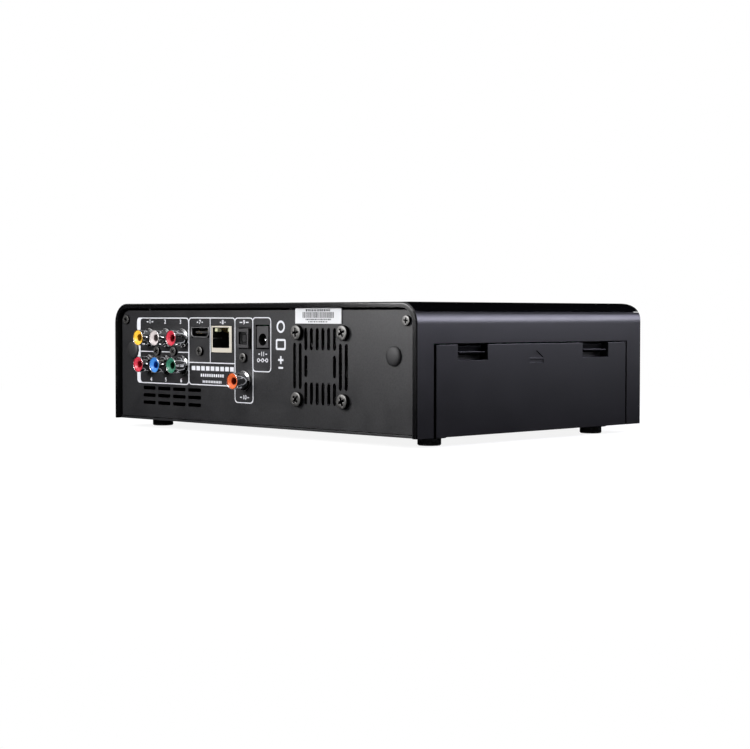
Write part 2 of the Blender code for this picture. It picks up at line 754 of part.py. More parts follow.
def make_plugs():
    points = [(0, PLUG_DOME)]
    points += [(PLUG_RADIUS * across, PLUG_DOME * up) for across, up in PLUG_CROWN_SHARES]
    points += [(PLUG_RADIUS, 0), (PLUG_STEM_RADIUS, 0), (PLUG_STEM_RADIUS, -PLUG_STEM_LENGTH)]
    points += [(0, -PLUG_STEM_LENGTH)]
    for name, side in (("tray_side", -1), ("socket_side", 1)):
        place = (side * PLUG_X + PLUG_SHIFT, PANEL_FACE + GAP, PLUG_Z)
        turned_part("hole_plug_" + name, points, "black", CASE, place, FACING_REAR)


# White label over the fan grille
LABEL_WIDTH = 0.0321
LABEL_CLEARANCE = 0.0007
LABEL_SHEET = 0.0002
LABEL_SHIFT = 0.0016


def make_label():
    top = INNER_TOP - GAP
    bottom = FAN_SCREWS[0][1] + FAN_HEAD_RADIUS + LABEL_CLEARANCE
    x = FAN_X + LABEL_SHIFT
    low = (x - LABEL_WIDTH / 2, PANEL_FACE + GAP, bottom)
    high = (x + LABEL_WIDTH / 2, PANEL_FACE + GAP + LABEL_SHEET, top)
    part("rear_label", box("rear_label", low, high), "label", CASE)


# RCA sockets: a shield plate with its barrels, a moulded block behind it and coloured sleeves inside
SHIELD_PLATE = 0.0005
COLLAR_REACH = 0.001
RCA_SLEEVE_RADIUS = 0.0034
RCA_SLEEVE_BORE = 0.00185
RCA_SLEEVE_RECESS = 0.0004
RCA_BORE = RCA_SLEEVE_RADIUS + GAP
RCA_BLOCK_DEPTH = 0.010
BARREL_TURN = math.radians(5)
SHIELD_FRONT = PANEL_BACK - GAP
SHIELD_REAR = SHIELD_FRONT - SHIELD_PLATE
BLOCK_FRONT = SHIELD_REAR - GAP
BLOCK_TO_MOUTH = PANEL_FACE + RCA_REACH - BLOCK_FRONT
RCA_COLOURS = ("yellow", "white", "red", "red", "blue", "green")
RCA_SLEEVE_NAMES = (
    "video",
    "left_audio",
    "right_audio",
    "component_red",
    "component_blue",
    "component_green",
)


def rca_barrel_points(root):
    """Closed ring profile of one barrel with its collar, from its root behind the panel to the mouth."""
    reach = RCA_REACH + PANEL_THICKNESS + GAP
    collar = COLLAR_REACH + PANEL_THICKNESS + GAP
    return [
        (RCA_BARREL_RADIUS, reach),
        (RCA_BARREL_RADIUS, collar),
        (RCA_COLLAR_RADIUS, collar),
        (RCA_COLLAR_RADIUS, root),
        (RCA_BORE, root),
        (RCA_BORE, reach),
    ]


def sleeve_points():
    """Closed ring profile of a coloured sleeve, from just before the block to inside the barrel's mouth."""
    start = GAP
    end = BLOCK_TO_MOUTH - RCA_SLEEVE_RECESS
    return [
        (RCA_SLEEVE_RADIUS, end),
        (RCA_SLEEVE_RADIUS, start),
        (RCA_SLEEVE_BORE, start),
        (RCA_SLEEVE_BORE, end),
    ]


def make_rca():
    left = RCA_X - RCA_PITCH - RCA_BLOCK_MARGIN
    right = RCA_BLOCK_SIDE
    bottom = RCA_LOW_Z - RCA_BLOCK_MARGIN
    top = BOARD_UNDERSIDE - GAP
    plate = box("rca_shield", (left, SHIELD_REAR, bottom), (right, SHIELD_FRONT, top))
    shield = part("rca_shield", plate, "chrome", CASE)
    bore = (RCA_BORE + RCA_COLLAR_RADIUS) / 2
    through = SHIELD_PLATE + 2 * OVERRUN
    bores = rods("rca_bores", [(x, SHIELD_REAR - OVERRUN, z) for x, z in RCA_PLACES], "Y", bore, through)
    cut(shield, helper("rca_bores", bores, CASE))
    starts = [(x, SHIELD_REAR - OVERRUN, z) for x, z in RCA_SCREWS]
    screw_holes = rods("rca_shield_holes", starts, "Y", SCREW_HOLE_RADIUS, through)
    cut(shield, helper("rca_shield_holes", screw_holes, CASE))
    barrel = profile("rca_barrel", rca_barrel_points(-SHIELD_PLATE / 2), closed=True)
    facing = (FACING_REAR[0], BARREL_TURN, 0)
    for index, (x, z) in enumerate(RCA_PLACES):
        tool = helper(f"rca_barrel_{index}", barrel, CASE, (x, SHIELD_FRONT, z), facing)
        join(shield, turn(tool))
    block_low = (left, BLOCK_FRONT - RCA_BLOCK_DEPTH, bottom)
    block = part("rca_block", box("rca_block", block_low, (right, BLOCK_FRONT, top)), "black", CASE)
    holes = rods(
        "rca_block_holes",
        [(x, BLOCK_FRONT - SHANK_LENGTH, z) for x, z in RCA_SCREWS],
        "Y",
        SCREW_HOLE_RADIUS,
        SHANK_LENGTH + OVERRUN,
    )
    cut(block, helper("rca_block_holes", holes, CASE))
    for name, colour, (x, z) in zip(RCA_SLEEVE_NAMES, RCA_COLOURS, RCA_PLACES):
        turned_part(
            "rca_sleeve_" + name, sleeve_points(), colour, CASE, (x, BLOCK_FRONT, z), FACING_REAR, closed=True
        )


# Optical and coaxial sockets on one block
AUDIO_BLOCK_WIDTH = 0.0117
AUDIO_BLOCK_DEPTH = 0.012
AUDIO_BLOCK_FOOT = 0.0065
OPTICAL_MOUTH = 0.0062
OPTICAL_CAVITY_DEPTH = 0.0095
SHUTTER_SHEET = 0.0006
SHUTTER_RECESS = 0.001
SHUTTER_SIZE = OPTICAL_MOUTH - 2 * GAP


def make_digital_audio():
    half = AUDIO_BLOCK_WIDTH / 2
    low = (OPTICAL_X - half, BLOCK_FRONT - AUDIO_BLOCK_DEPTH, COAX_Z - AUDIO_BLOCK_FOOT)
    high = (OPTICAL_X + half, BLOCK_FRONT, BOARD_UNDERSIDE - GAP)
    block = part("digital_audio_block", box("digital_audio_block", low, high), "black", CASE)
    nose = box(
        "optical_nose",
        (NOSE_X - OPTICAL_WIDTH / 2, BLOCK_FRONT - OVERRUN, OPTICAL_Z - OPTICAL_HEIGHT / 2),
        (NOSE_X + OPTICAL_WIDTH / 2, NOSE_FACE, OPTICAL_Z + OPTICAL_HEIGHT / 2),
    )
    join(block, helper("optical_nose", nose, CASE))
    mouth_half = OPTICAL_MOUTH / 2
    cavity = box(
        "optical_cavity",
        (NOSE_X - mouth_half, NOSE_FACE - OPTICAL_CAVITY_DEPTH, OPTICAL_Z - mouth_half),
        (NOSE_X + mouth_half, NOSE_FACE + OVERRUN, OPTICAL_Z + mouth_half),
    )
    cut(block, helper("optical_cavity", cavity, CASE))
    x, z = OPTICAL_SCREW
    pilot = rods(
        "audio_pilot", [(x, BLOCK_FRONT - SHANK_LENGTH, z)], "Y", SCREW_HOLE_RADIUS, SHANK_LENGTH + OVERRUN
    )
    cut(block, helper("audio_pilot", pilot, CASE))
    hinge_z = OPTICAL_Z + SHUTTER_SIZE / 2 - SHUTTER_SHEET / 2
    hinge = (NOSE_X, NOSE_FACE - SHUTTER_RECESS - SHUTTER_SHEET / 2, hinge_z)
    flap = box(
        "optical_shutter",
        (-SHUTTER_SIZE / 2, -SHUTTER_SHEET / 2, SHUTTER_SHEET / 2 - SHUTTER_SIZE),
        (SHUTTER_SIZE / 2, SHUTTER_SHEET / 2, SHUTTER_SHEET / 2),
    )
    part("optical_shutter", flap, "black", CASE, hinge)
    points = rca_barrel_points(-SHIELD_PLATE)
    place = (OPTICAL_X, SHIELD_FRONT, COAX_Z)
    turned_part("coax_barrel", points, "chrome", CASE, place, FACING_REAR, closed=True)
    place = (OPTICAL_X, BLOCK_FRONT, COAX_Z)
    turned_part("coax_sleeve", sleeve_points(), "orange", CASE, place, FACING_REAR, closed=True)


# HDMI socket
HDMI_SHEET = 0.0005
HDMI_DEPTH = 0.0125
HDMI_LIP = 0.0005
HDMI_CHAMFER = 0.0014
HDMI_TONGUE_WIDTH = 0.0102
HDMI_TONGUE_SHEET = 0.0011
HDMI_TONGUE_RECESS = 0.0012
HDMI_STOP = 0.0045


def hdmi_outline(inset):
    """Flat-topped outline with its two lower corners cut off, drawn in by an inset."""
    half, top, bottom = HDMI_WIDTH / 2 - inset, HDMI_HEIGHT / 2 - inset, inset - HDMI_HEIGHT / 2
    cut_off = HDMI_CHAMFER - inset / 2
    return [
        (half, top), (-half, top), (-half, bottom + cut_off), (cut_off - half, bottom),
        (half - cut_off, bottom), (half, bottom + cut_off),
    ]


def make_hdmi():
    front = PANEL_FACE + HDMI_LIP
    middle = (HDMI_X, front - HDMI_DEPTH / 2, HDMI_Z)
    mesh = outline("hdmi_shell", [hdmi_outline(0), hdmi_outline(HDMI_SHEET)], HDMI_DEPTH)
    part("hdmi_shell", mesh, "steel", CASE, middle, UPRIGHT)
    stop_mesh = outline("hdmi_tongue", [hdmi_outline(HDMI_SHEET + GAP)], HDMI_STOP)
    stop_middle = (HDMI_X, front - HDMI_DEPTH + HDMI_STOP / 2, HDMI_Z)
    tongue = part("hdmi_tongue", stop_mesh, "black", CASE, stop_middle, UPRIGHT)
    half, sheet = HDMI_TONGUE_WIDTH / 2, HDMI_TONGUE_SHEET / 2
    blade = box(
        "hdmi_blade",
        (HDMI_X - half, front - HDMI_DEPTH + HDMI_STOP - OVERRUN, HDMI_Z - sheet),
        (HDMI_X + half, front - HDMI_TONGUE_RECESS, HDMI_Z + sheet),
    )
    join(tongue, helper("hdmi_blade", blade, CASE))


# Network socket
LAN_DEPTH = 0.0175
LAN_SHEET = 0.0008
LAN_FACE = 0.0007
LAN_MOUTH_WIDTH = 0.013
LAN_MOUTH_SHIFT = 0.0005
LAN_MOUTH_HEIGHT = 0.0103
LAN_MOUTH_RISE = 0.0023
LAN_CAVITY_DEPTH = 0.0135
LAN_FRONT = PANEL_FACE + GAP


def lan_mouth(front, depth):
    """Lowest and highest corner of the space that the plug goes into."""
    bottom = LAN_Z - LAN_HEIGHT / 2 + LAN_MOUTH_RISE
    centre = LAN_X + LAN_MOUTH_SHIFT
    low = (centre - LAN_MOUTH_WIDTH / 2, front - depth, bottom)
    return low, (centre + LAN_MOUTH_WIDTH / 2, front + OVERRUN, bottom + LAN_MOUTH_HEIGHT)


def make_lan():
    low = (LAN_X - LAN_WIDTH / 2, LAN_FRONT - LAN_DEPTH, LAN_Z - LAN_HEIGHT / 2)
    high = (LAN_X + LAN_WIDTH / 2, LAN_FRONT, LAN_Z + LAN_HEIGHT / 2)
    shield = part("lan_shield", box("lan_shield", low, high), "tin", CASE)
    hollow = box(
        "lan_hollow",
        (low[0] + LAN_SHEET, low[1] - OVERRUN, low[2] + LAN_SHEET),
        (high[0] - LAN_SHEET, LAN_FRONT - LAN_FACE, high[2] - LAN_SHEET / 2),
    )
    cut(shield, helper("lan_hollow", hollow, CASE))
    cut(shield, helper("lan_mouth", box("lan_mouth", *lan_mouth(LAN_FRONT, 2 * LAN_FACE)), CASE))
    insert = box(
        "lan_insert",
        (low[0] + LAN_SHEET + GAP, low[1], low[2] + LAN_SHEET + GAP),
        (high[0] - LAN_SHEET - GAP, LAN_FRONT - LAN_FACE - GAP, high[2] - LAN_SHEET / 2 - GAP),
    )
    inner = part("lan_insert", insert, "black", CASE)
    space = box("lan_cavity", *lan_mouth(LAN_FRONT, LAN_CAVITY_DEPTH))
    cut(inner, helper("lan_cavity", space, CASE))


# Power inlet
DC_DEPTH = 0.0135
DC_HOLE_RADIUS = 0.003
DC_HOLE_DEPTH = 0.0095
DC_HOLE_DROP = 0.0013
DC_PIN_RADIUS = 0.001
DC_PIN_RECESS = 0.002


def make_dc_inlet():
    low = (DC_X - DC_WIDTH / 2, PANEL_FACE - DC_DEPTH, DC_Z - DC_HEIGHT / 2)
    high = (DC_X + DC_WIDTH / 2, PANEL_FACE, DC_Z + DC_HEIGHT / 2)
    inlet = part("dc_inlet", box("dc_inlet", low, high), "black", CASE)
    start = (DC_X, PANEL_FACE - DC_HOLE_DEPTH, DC_Z - DC_HOLE_DROP)
    hole = rods("dc_hole", [start], "Y", DC_HOLE_RADIUS, DC_HOLE_DEPTH + OVERRUN, ROUND_SIDES)
    cut(inlet, helper("dc_hole", hole, CASE))
    root = (start[0], start[1] - OVERRUN, start[2])
    pin = rods("dc_pin", [root], "Y", DC_PIN_RADIUS, DC_HOLE_DEPTH + OVERRUN - DC_PIN_RECESS)
    join(inlet, helper("dc_pin", pin, CASE))


# Fan
FAN_BORE_SHARE = 0.95
FAN_CORNER_SHARE = 0.06
FAN_HUB_SHARE = 0.27
FAN_STRUT_SHARE = 0.06
FAN_STRUT_DEPTH = 0.0015
FAN_SHAFT_RADIUS = 0.0012
FAN_SHAFT_LENGTH = 0.0045
ROTOR_CLEARANCE = 0.0007
ROTOR_HUB_SHARE = 0.25
ROTOR_FACE_RECESS = 0.0008
BLADE_COUNT = 7
BLADE_SHEET = 0.0009
BLADE_CHORD_SHARE = 0.72
BLADE_PITCH_DEGREES = 52
FAN_FRONT = PANEL_BACK - GAP
FAN_INNER = FAN_FRONT - FAN_DEPTH
FAN_BORE = FAN_SIZE / 2 * FAN_BORE_SHARE


def make_fan_frame():
    half = FAN_SIZE / 2
    corner = FAN_SIZE * FAN_CORNER_SHARE
    edge = []
    for start, x, z in ((0, 1, 1), (90, -1, 1), (180, -1, -1), (270, 1, -1)):
        centre = (FAN_X + x * (half - corner), FAN_Z + z * (half - corner))
        edge += arc(centre, corner, start, start + 90, 2)
    loops = [edge, circle((FAN_X, FAN_Z), FAN_BORE, 2 * ROUND_SIDES)]
    loops += [circle(place, SCREW_HOLE_RADIUS, SMALL_SIDES // 2) for place in FAN_SCREWS]
    middle = (0, FAN_FRONT - FAN_DEPTH / 2, 0)
    frame = part("fan_frame", outline("fan_frame", loops, FAN_DEPTH), "black", CASE, middle, UPRIGHT)
    hub = FAN_SIZE * FAN_HUB_SHARE
    motor = rods("fan_motor", [(FAN_X, FAN_INNER, FAN_Z)], "Y", hub, FAN_STRUT_DEPTH, 2 * SMALL_SIDES)
    spider = helper("fan_motor", motor, CASE)
    half_bar = FAN_SIZE * FAN_STRUT_SHARE / 2
    bars = []
    for quarter in range(4):
        corners = (rotated(hub - half_bar, -half_bar, quarter), rotated(FAN_BORE + GAP, half_bar, quarter))
        (left, right), (bottom, top) = (sorted(values) for values in zip(*corners))
        bars.append(
            (
                (FAN_X + left, FAN_INNER + GAP, FAN_Z + bottom),
                (FAN_X + right, FAN_INNER + FAN_STRUT_DEPTH - GAP, FAN_Z + top),
            )
        )
    join(spider, helper("fan_bars", boxes("fan_bars", bars), CASE))
    join(frame, spider)
    start = (FAN_X, FAN_INNER + FAN_STRUT_DEPTH / 2, FAN_Z)
    shaft = rods("fan_shaft", [start], "Y", FAN_SHAFT_RADIUS, FAN_SHAFT_LENGTH)
    join(frame, helper("fan_shaft", shaft, CASE))


def make_fan_rotor():
    depth = FAN_DEPTH - FAN_STRUT_DEPTH - ROTOR_CLEARANCE - ROTOR_FACE_RECESS
    hub_radius = FAN_SIZE * ROTOR_HUB_SHARE
    start = (FAN_X, FAN_INNER + FAN_STRUT_DEPTH + ROTOR_CLEARANCE, FAN_Z)
    hub = rods("fan_rotor", [(0, 0, 0)], "Y", hub_radius, depth, 2 * SMALL_SIDES)
    rotor = part("fan_rotor", hub, "black", CASE, start)
    tip = FAN_BORE - ROTOR_CLEARANCE
    chord = depth * BLADE_CHORD_SHARE
    shape = bmesh.new()
    for index in range(BLADE_COUNT):
        around = Matrix.Rotation(2 * math.pi * index / BLADE_COUNT, 4, "Y")
        middle = Matrix.Translation((0, depth / 2, (hub_radius + tip - OVERRUN) / 2))
        length = tip - hub_radius - OVERRUN / 4
        size = Matrix.Diagonal((BLADE_SHEET, chord, length + OVERRUN, 1))
        spin = Matrix.Rotation(math.radians(90 - BLADE_PITCH_DEGREES), 4, "Z")
        bmesh.ops.create_cube(shape, size=1, matrix=around @ middle @ spin @ size)
    join(rotor, helper("fan_blades", finish_mesh("fan_blades", shape), CASE, start))
    bore = rods("fan_bearing", [(0, -OVERRUN, 0)], "Y", FAN_SHAFT_RADIUS + GAP, FAN_SHAFT_LENGTH + OVERRUN)
    cut(rotor, helper("fan_bearing", bore, CASE, start))


# Fan cable, from the frame's side to the plug under the main board
FAN_CABLE_RADIUS = 0.0008
FAN_CABLE_BOW = 0.004
FAN_CABLE_POINTS = 24


def make_fan_cable():
    start = (FAN_X + FAN_SIZE / 2 + 2 * GAP, FAN_INNER + FAN_DEPTH / 3, FAN_Z + FAN_SIZE / 5)
    end = (BOARD_LEFT + STAKE_INSET / 2, start[1] - FAN_CABLE_BOW, BOARD_UNDERSIDE - GAP)
    curve = bpy.data.curves.new("fan_cable", "CURVE")
    curve.dimensions = "3D"
    curve.bevel_depth = FAN_CABLE_RADIUS
    curve.bevel_resolution = 2
    curve.use_fill_caps = True
    spline = curve.splines.new("POLY")
    spline.points.add(FAN_CABLE_POINTS - 1)
    for index, point in enumerate(spline.points):
        share = index / (FAN_CABLE_POINTS - 1)
        turn_in = math.sin(share * math.pi / 2)
        rise = 1 - math.cos(share * math.pi / 2)
        x = start[0] + (end[0] - start[0]) * turn_in
        y = start[1] + (end[1] - start[1]) * rise
        z = start[2] + (end[2] - start[2]) * rise
        point.co = (x, y, z, 1)
    obj = bpy.data.objects.new("fan_cable", curve)
    PARTS.objects.link(obj)
    obj.parent = CASE
    curve.materials.append(finish_material("fan_cable", "red"))


# Backplane that the drive plugs into, inside the tray's far end
DRIVE_X = 0.0045
DRIVE_END = DRIVE_X + DRIVE_LENGTH
BACKPLANE_WIDTH = 0.044
BACKPLANE_RISE = 0.006
SOCKET_DEPTH = 0.0035
SOCKET_WIDTH = 0.030
SOCKET_HEIGHT = 0.0055
SOCKET_RISE = 0.0078
BACKPLANE_FACE = TRAY_BACK + DRIVE_END + GAP + SOCKET_DEPTH
BACKPLANE_FAR = BACKPLANE_FACE + BOARD_SHEET

# Main board with what is soldered to it
CHIP_SIZE_SHARE = 0.733
CHIP_HEIGHT = 0.0012
CHIP_PITCH_SHARE = 0.277
CHIP_CLEARANCE = 0.0015
PROCESSOR_SHARE = 0.667
PROCESSOR_HEIGHT = 0.0022
HEAT_SINK_SHARE = 0.665
HEAT_SINK_BASE = 0.0025
HEAT_SINK_HEIGHT = 0.011
FIN_COUNT = 8
FIN_SHARE = 0.4
CAPACITOR_RADIUS = 0.004
CAPACITOR_HEIGHT = 0.011
CAPACITOR_PITCH = 0.0095
HEAT_SINK_SPACE = BOARD_RIGHT - BACKPLANE_FAR
HEAT_SINK_SIZE = HEAT_SINK_SPACE * HEAT_SINK_SHARE
PROCESSOR_SIZE = HEAT_SINK_SIZE * PROCESSOR_SHARE
PROCESSOR_PLACE = (BACKPLANE_FAR + HEAT_SINK_SPACE / 2, 0)
CHIP_PITCH = HEAT_SINK_SPACE * CHIP_PITCH_SHARE
CHIP_SIZE = CHIP_PITCH * CHIP_SIZE_SHARE


def make_main_board():
    low = (BOARD_LEFT, BOARD_FRONT, BOARD_UNDERSIDE)
    high = (BOARD_RIGHT, BOARD_REAR, BOARD_TOP)
    board = part("main_board", box("main_board", low, high), "board", CASE)
    holes = rods(
        "board_holes",
        [(x, y, BOARD_UNDERSIDE - OVERRUN) for x, y in STAKES],
        "Z",
        STAKE_PIN_RADIUS + GAP,
        BOARD_SHEET + 2 * OVERRUN,
    )
    cut(board, helper("board_holes", holes, CASE))
    x, y = PROCESSOR_PLACE
    chip_y = -BACKPLANE_WIDTH / 2 - CHIP_SIZE / 2 - CHIP_CLEARANCE
    half = CHIP_SIZE / 2
    chips = boxes(
        "memory_chips",
        [
            (
                (x + step * CHIP_PITCH - half, chip_y - half, BOARD_UNDERSIDE - CHIP_HEIGHT),
                (x + step * CHIP_PITCH + half, chip_y + half, BOARD_UNDERSIDE + BOARD_SHEET / 2),
            )
            for step in (-1.5, -0.5, 0.5, 1.5)
        ],
    )
    join(board, helper("memory_chips", chips, CASE))
    can_y = PANEL_BACK - 2 * DC_DEPTH - CAPACITOR_RADIUS
    cans = rods(
        "capacitors",
        [(DC_X + step * CAPACITOR_PITCH, can_y, BOARD_UNDERSIDE - CAPACITOR_HEIGHT) for step in (0, 1, 2)],
        "Z",
        CAPACITOR_RADIUS,
        CAPACITOR_HEIGHT + BOARD_SHEET / 2,
    )
    join(board, helper("capacitors", cans, CASE))
    size = PROCESSOR_SIZE / 2
    top = BOARD_UNDERSIDE - GAP
    bottom = top - PROCESSOR_HEIGHT
    chip = box("processor", (x - size, y - size, bottom), (x + size, y + size, top))
    part("processor", chip, "black", CASE)
    reach = HEAT_SINK_SIZE / 2
    sink_top = bottom - GAP
    base_low = (x - reach, y - reach, sink_top - HEAT_SINK_BASE)
    sink = part("heat_sink", box("heat_sink", base_low, (x + reach, y + reach, sink_top)), "alloy", CASE)
    pitch = HEAT_SINK_SIZE / (FIN_COUNT - 1 + FIN_SHARE)
    fin = pitch * FIN_SHARE
    fins = boxes(
        "heat_sink_fins",
        [
            (
                (x - reach + step * pitch, y - reach, sink_top - HEAT_SINK_HEIGHT),
                (x - reach + step * pitch + fin, y + reach, sink_top - HEAT_SINK_BASE / 2),
            )
            for step in range(FIN_COUNT)
        ],
    )
    join(sink, helper("heat_sink_fins", fins, CASE))


# USB sockets
def make_usb():
    low = (HALF_WIDTH - USB_DEPTH, USB_Y - USB_WIDTH / 2, USB_TOP - USB_HEIGHT)
    high = (HALF_WIDTH, USB_Y + USB_WIDTH / 2, USB_TOP)
    block = part("usb_sockets", box("usb_sockets", low, high), "steel", CASE)
    ports = []
    tongues = []
    half, rise = USB_PORT_WIDTH / 2, USB_PORT_HEIGHT / 2
    wide, thick = USB_TONGUE_WIDTH / 2, USB_TONGUE_HEIGHT
    for share in USB_PORT_SHARES:
        middle = USB_TOP - USB_HEIGHT * share
        ports.append(
            (
                (HALF_WIDTH - USB_PORT_DEPTH, USB_Y - half, middle - rise),
                (HALF_WIDTH + OVERRUN, USB_Y + half, middle + rise),
            )
        )
        tongues.append(
            (
                (HALF_WIDTH - USB_PORT_DEPTH - OVERRUN, USB_Y - wide, middle),
                (HALF_WIDTH - OVERRUN, USB_Y + wide, middle + thick),
            )
        )
    cut(block, helper("usb_ports", boxes("usb_ports", ports), CASE))
    join(block, helper("usb_tongues", boxes("usb_tongues", tongues), CASE))


# Front: fascia, its window and the button
WINDOW_WIDTH = 0.030
WINDOW_HEIGHT = 0.009
WINDOW_LEDGE = 0.001
WINDOW_X_SHARE = -0.28
WINDOW_Z_SHARE = 0.42
BUTTON_RADIUS = 0.005
BUTTON_LEDGE = 0.0015
BUTTON_LEDGE_DEPTH = 0.001
BUTTON_TRAVEL = 0.0008
BUTTON_STEM_RADIUS = 0.0012
BUTTON_X_SHARE = 0.36
BUTTON_X = CASE_WIDTH * BUTTON_X_SHARE
BUTTON_Z = CASE_HEIGHT * WINDOW_Z_SHARE
WINDOW_X = CASE_WIDTH * WINDOW_X_SHARE
FRONT_BOARD_FACE = FASCIA_BACK + BOARD_FRONT_INSET + GAP
FRONT_BOARD_MARGIN = 0.008
SWITCH_SIZE = 0.006
SWITCH_REACH = 0.0008


def make_front():
    front = -HALF_DEPTH
    loops = [
        [
            (FASCIA_HALF_WIDTH, 0),
            (FASCIA_HALF_WIDTH, FASCIA_TOP),
            (-FASCIA_HALF_WIDTH, FASCIA_TOP),
            (-FASCIA_HALF_WIDTH, 0),
        ],
        rectangle((WINDOW_X, BUTTON_Z), WINDOW_WIDTH, WINDOW_HEIGHT),
        circle((BUTTON_X, BUTTON_Z), BUTTON_RADIUS + GAP),
    ]
    middle = (0, (front + FASCIA_BACK) / 2, 0)
    part("front_fascia", outline("front_fascia", loops, FASCIA_THICKNESS), "gloss", CASE, middle, UPRIGHT)
    half, rise = WINDOW_WIDTH / 2 - GAP, WINDOW_HEIGHT / 2 - GAP
    glass_low = (WINDOW_X - half, front + GAP, BUTTON_Z - rise)
    glass_high = (WINDOW_X + half, FASCIA_BACK + WINDOW_LEDGE, BUTTON_Z + rise)
    window = part("ir_window", box("ir_window", glass_low, glass_high), "smoke", CASE)
    flange = box(
        "ir_window_flange",
        (glass_low[0] - WINDOW_LEDGE, FASCIA_BACK + GAP, glass_low[2] - WINDOW_LEDGE),
        (glass_high[0] + WINDOW_LEDGE, FASCIA_BACK + 2 * WINDOW_LEDGE, glass_high[2] + WINDOW_LEDGE),
    )
    join(window, helper("ir_window_flange", flange, CASE))
    ledge = FASCIA_THICKNESS + GAP
    stem = FRONT_BOARD_FACE - SWITCH_REACH - GAP - BUTTON_TRAVEL - front
    points = [
        (0, stem),
        (BUTTON_STEM_RADIUS, stem),
        (BUTTON_STEM_RADIUS, ledge + BUTTON_LEDGE_DEPTH),
        (BUTTON_RADIUS + BUTTON_LEDGE, ledge + BUTTON_LEDGE_DEPTH),
        (BUTTON_RADIUS + BUTTON_LEDGE, ledge),
        (BUTTON_RADIUS, ledge),
        (BUTTON_RADIUS, 0),
        (0, 0),
    ]
    turned_part("power_button", points, "gloss", CASE, (BUTTON_X, front, BUTTON_Z), FACING_REAR)
    left = WINDOW_X - WINDOW_WIDTH / 2
    right = BUTTON_X + FRONT_BOARD_MARGIN
    low = (left, FRONT_BOARD_FACE, BUTTON_Z - FRONT_BOARD_MARGIN)
    board = part(
        "front_board",
        box("front_board", low, (right, FRONT_BOARD_FACE + BOARD_SHEET, BOARD_UNDERSIDE - GAP)),
        "board",
        CASE,
    )
    half = SWITCH_SIZE / 2
    switch = box(
        "power_switch",
        (BUTTON_X - half, FRONT_BOARD_FACE - SWITCH_REACH, BUTTON_Z - half),
        (BUTTON_X + half, FRONT_BOARD_FACE + BOARD_SHEET / 2, BUTTON_Z + half),
    )
    join(board, helper("power_switch", switch, CASE))


# Tray, drive and latches
CARRIER_BOTTOM = 0.0037
CARRIER_SIDE_HEIGHT = 0.018
DRIVE_BOARD_SHEET = 0.0012
DRIVE_COVER_SHEET = 0.0008
DRIVE_COVER_INSET = 0.001
DRIVE_PIN_RADIUS = 0.0014
DRIVE_PIN_DEPTH = 0.0025
DRIVE_PIN_RISE = 0.0064
DRIVE_PIN_SHARES = (0.2, 0.8)
DRIVE_BOARD_SHARE = 0.35
DRIVE_BOTTOM = CARRIER_BOTTOM + CARRIER_SHEET + GAP
DRIVE_TOP = DRIVE_BOTTOM + DRIVE_HEIGHT
CARRIER_HALF = DRIVE_WIDTH / 2 + GAP + CARRIER_SHEET

LATCH_SPREAD_SHARE = 0.32
LATCH_WIDTH = 0.0174
LATCH_TRAVEL = 0.002
POCKET_WIDTH = 0.0204
POCKET_DROP = 0.0072
POCKET_DEPTH = 0.0054
POCKET_WALL = 0.0012
LATCH_COLUMN = 0.002
LATCH_LEDGE = 0.0008
LATCH_LEDGE_DROP = 0.0033
LATCH_WEDGE = 0.0012
LATCH_FACE_RECESS = 0.0004
LATCH_Y = TRAY_OPENING_WIDTH * LATCH_SPREAD_SHARE

SIGN_WIDTH = 0.0100
SIGN_HEIGHT = 0.0058
SIGN_DEPTH = 0.0004
SIGN_BAR_SHARE = 0.26
SIGN_GAP_SHARE = 0.16
SIGN_DROP = 0.0063


def make_tray_front():
    """The tray's outer panel, with a pocket for each latch and a small sunk sign."""
    panel = part(
        "tray_front",
        box("tray_front", (-TRAY_PANEL, -TRAY_HALF_WIDTH, 0), (0, TRAY_HALF_WIDTH, TRAY_TOP)),
        "satin",
        TRAY,
    )
    half = POCKET_WIDTH / 2
    floor = TRAY_TOP - POCKET_DROP
    shells = []
    hollows = []
    for side in (-1, 1):
        y = side * LATCH_Y
        back = POCKET_DEPTH - TRAY_PANEL
        shells.append(
            (
                (-TRAY_PANEL / 2, y - half - POCKET_WALL, floor - POCKET_WALL),
                (back + POCKET_WALL, y + half + POCKET_WALL, TRAY_TOP),
            )
        )
        hollows.append(
            ((-TRAY_PANEL - OVERRUN, y - half, floor), (back, y + half, TRAY_TOP + OVERRUN))
        )
    join(panel, helper("latch_pockets", boxes("latch_pockets", shells), TRAY))
    cut(panel, helper("latch_hollows", boxes("latch_hollows", hollows), TRAY))
    z = TRAY_TOP - SIGN_DROP
    low, high = z - SIGN_HEIGHT / 2, z + SIGN_HEIGHT / 2
    bar = SIGN_HEIGHT * SIGN_BAR_SHARE
    wide = SIGN_WIDTH / 2
    gap = SIGN_HEIGHT * SIGN_GAP_SHARE
    loops = [
        [(wide, low), (wide, low + bar), (-wide, low + bar), (-wide, low)],
        [(wide, low + bar + gap), (0, high), (-wide, low + bar + gap)],
    ]
    sign = outline("tray_sign", loops, 2 * SIGN_DEPTH)
    cut(panel, helper("tray_sign", sign, TRAY, (-TRAY_PANEL, 0, 0), SIDEWAYS))


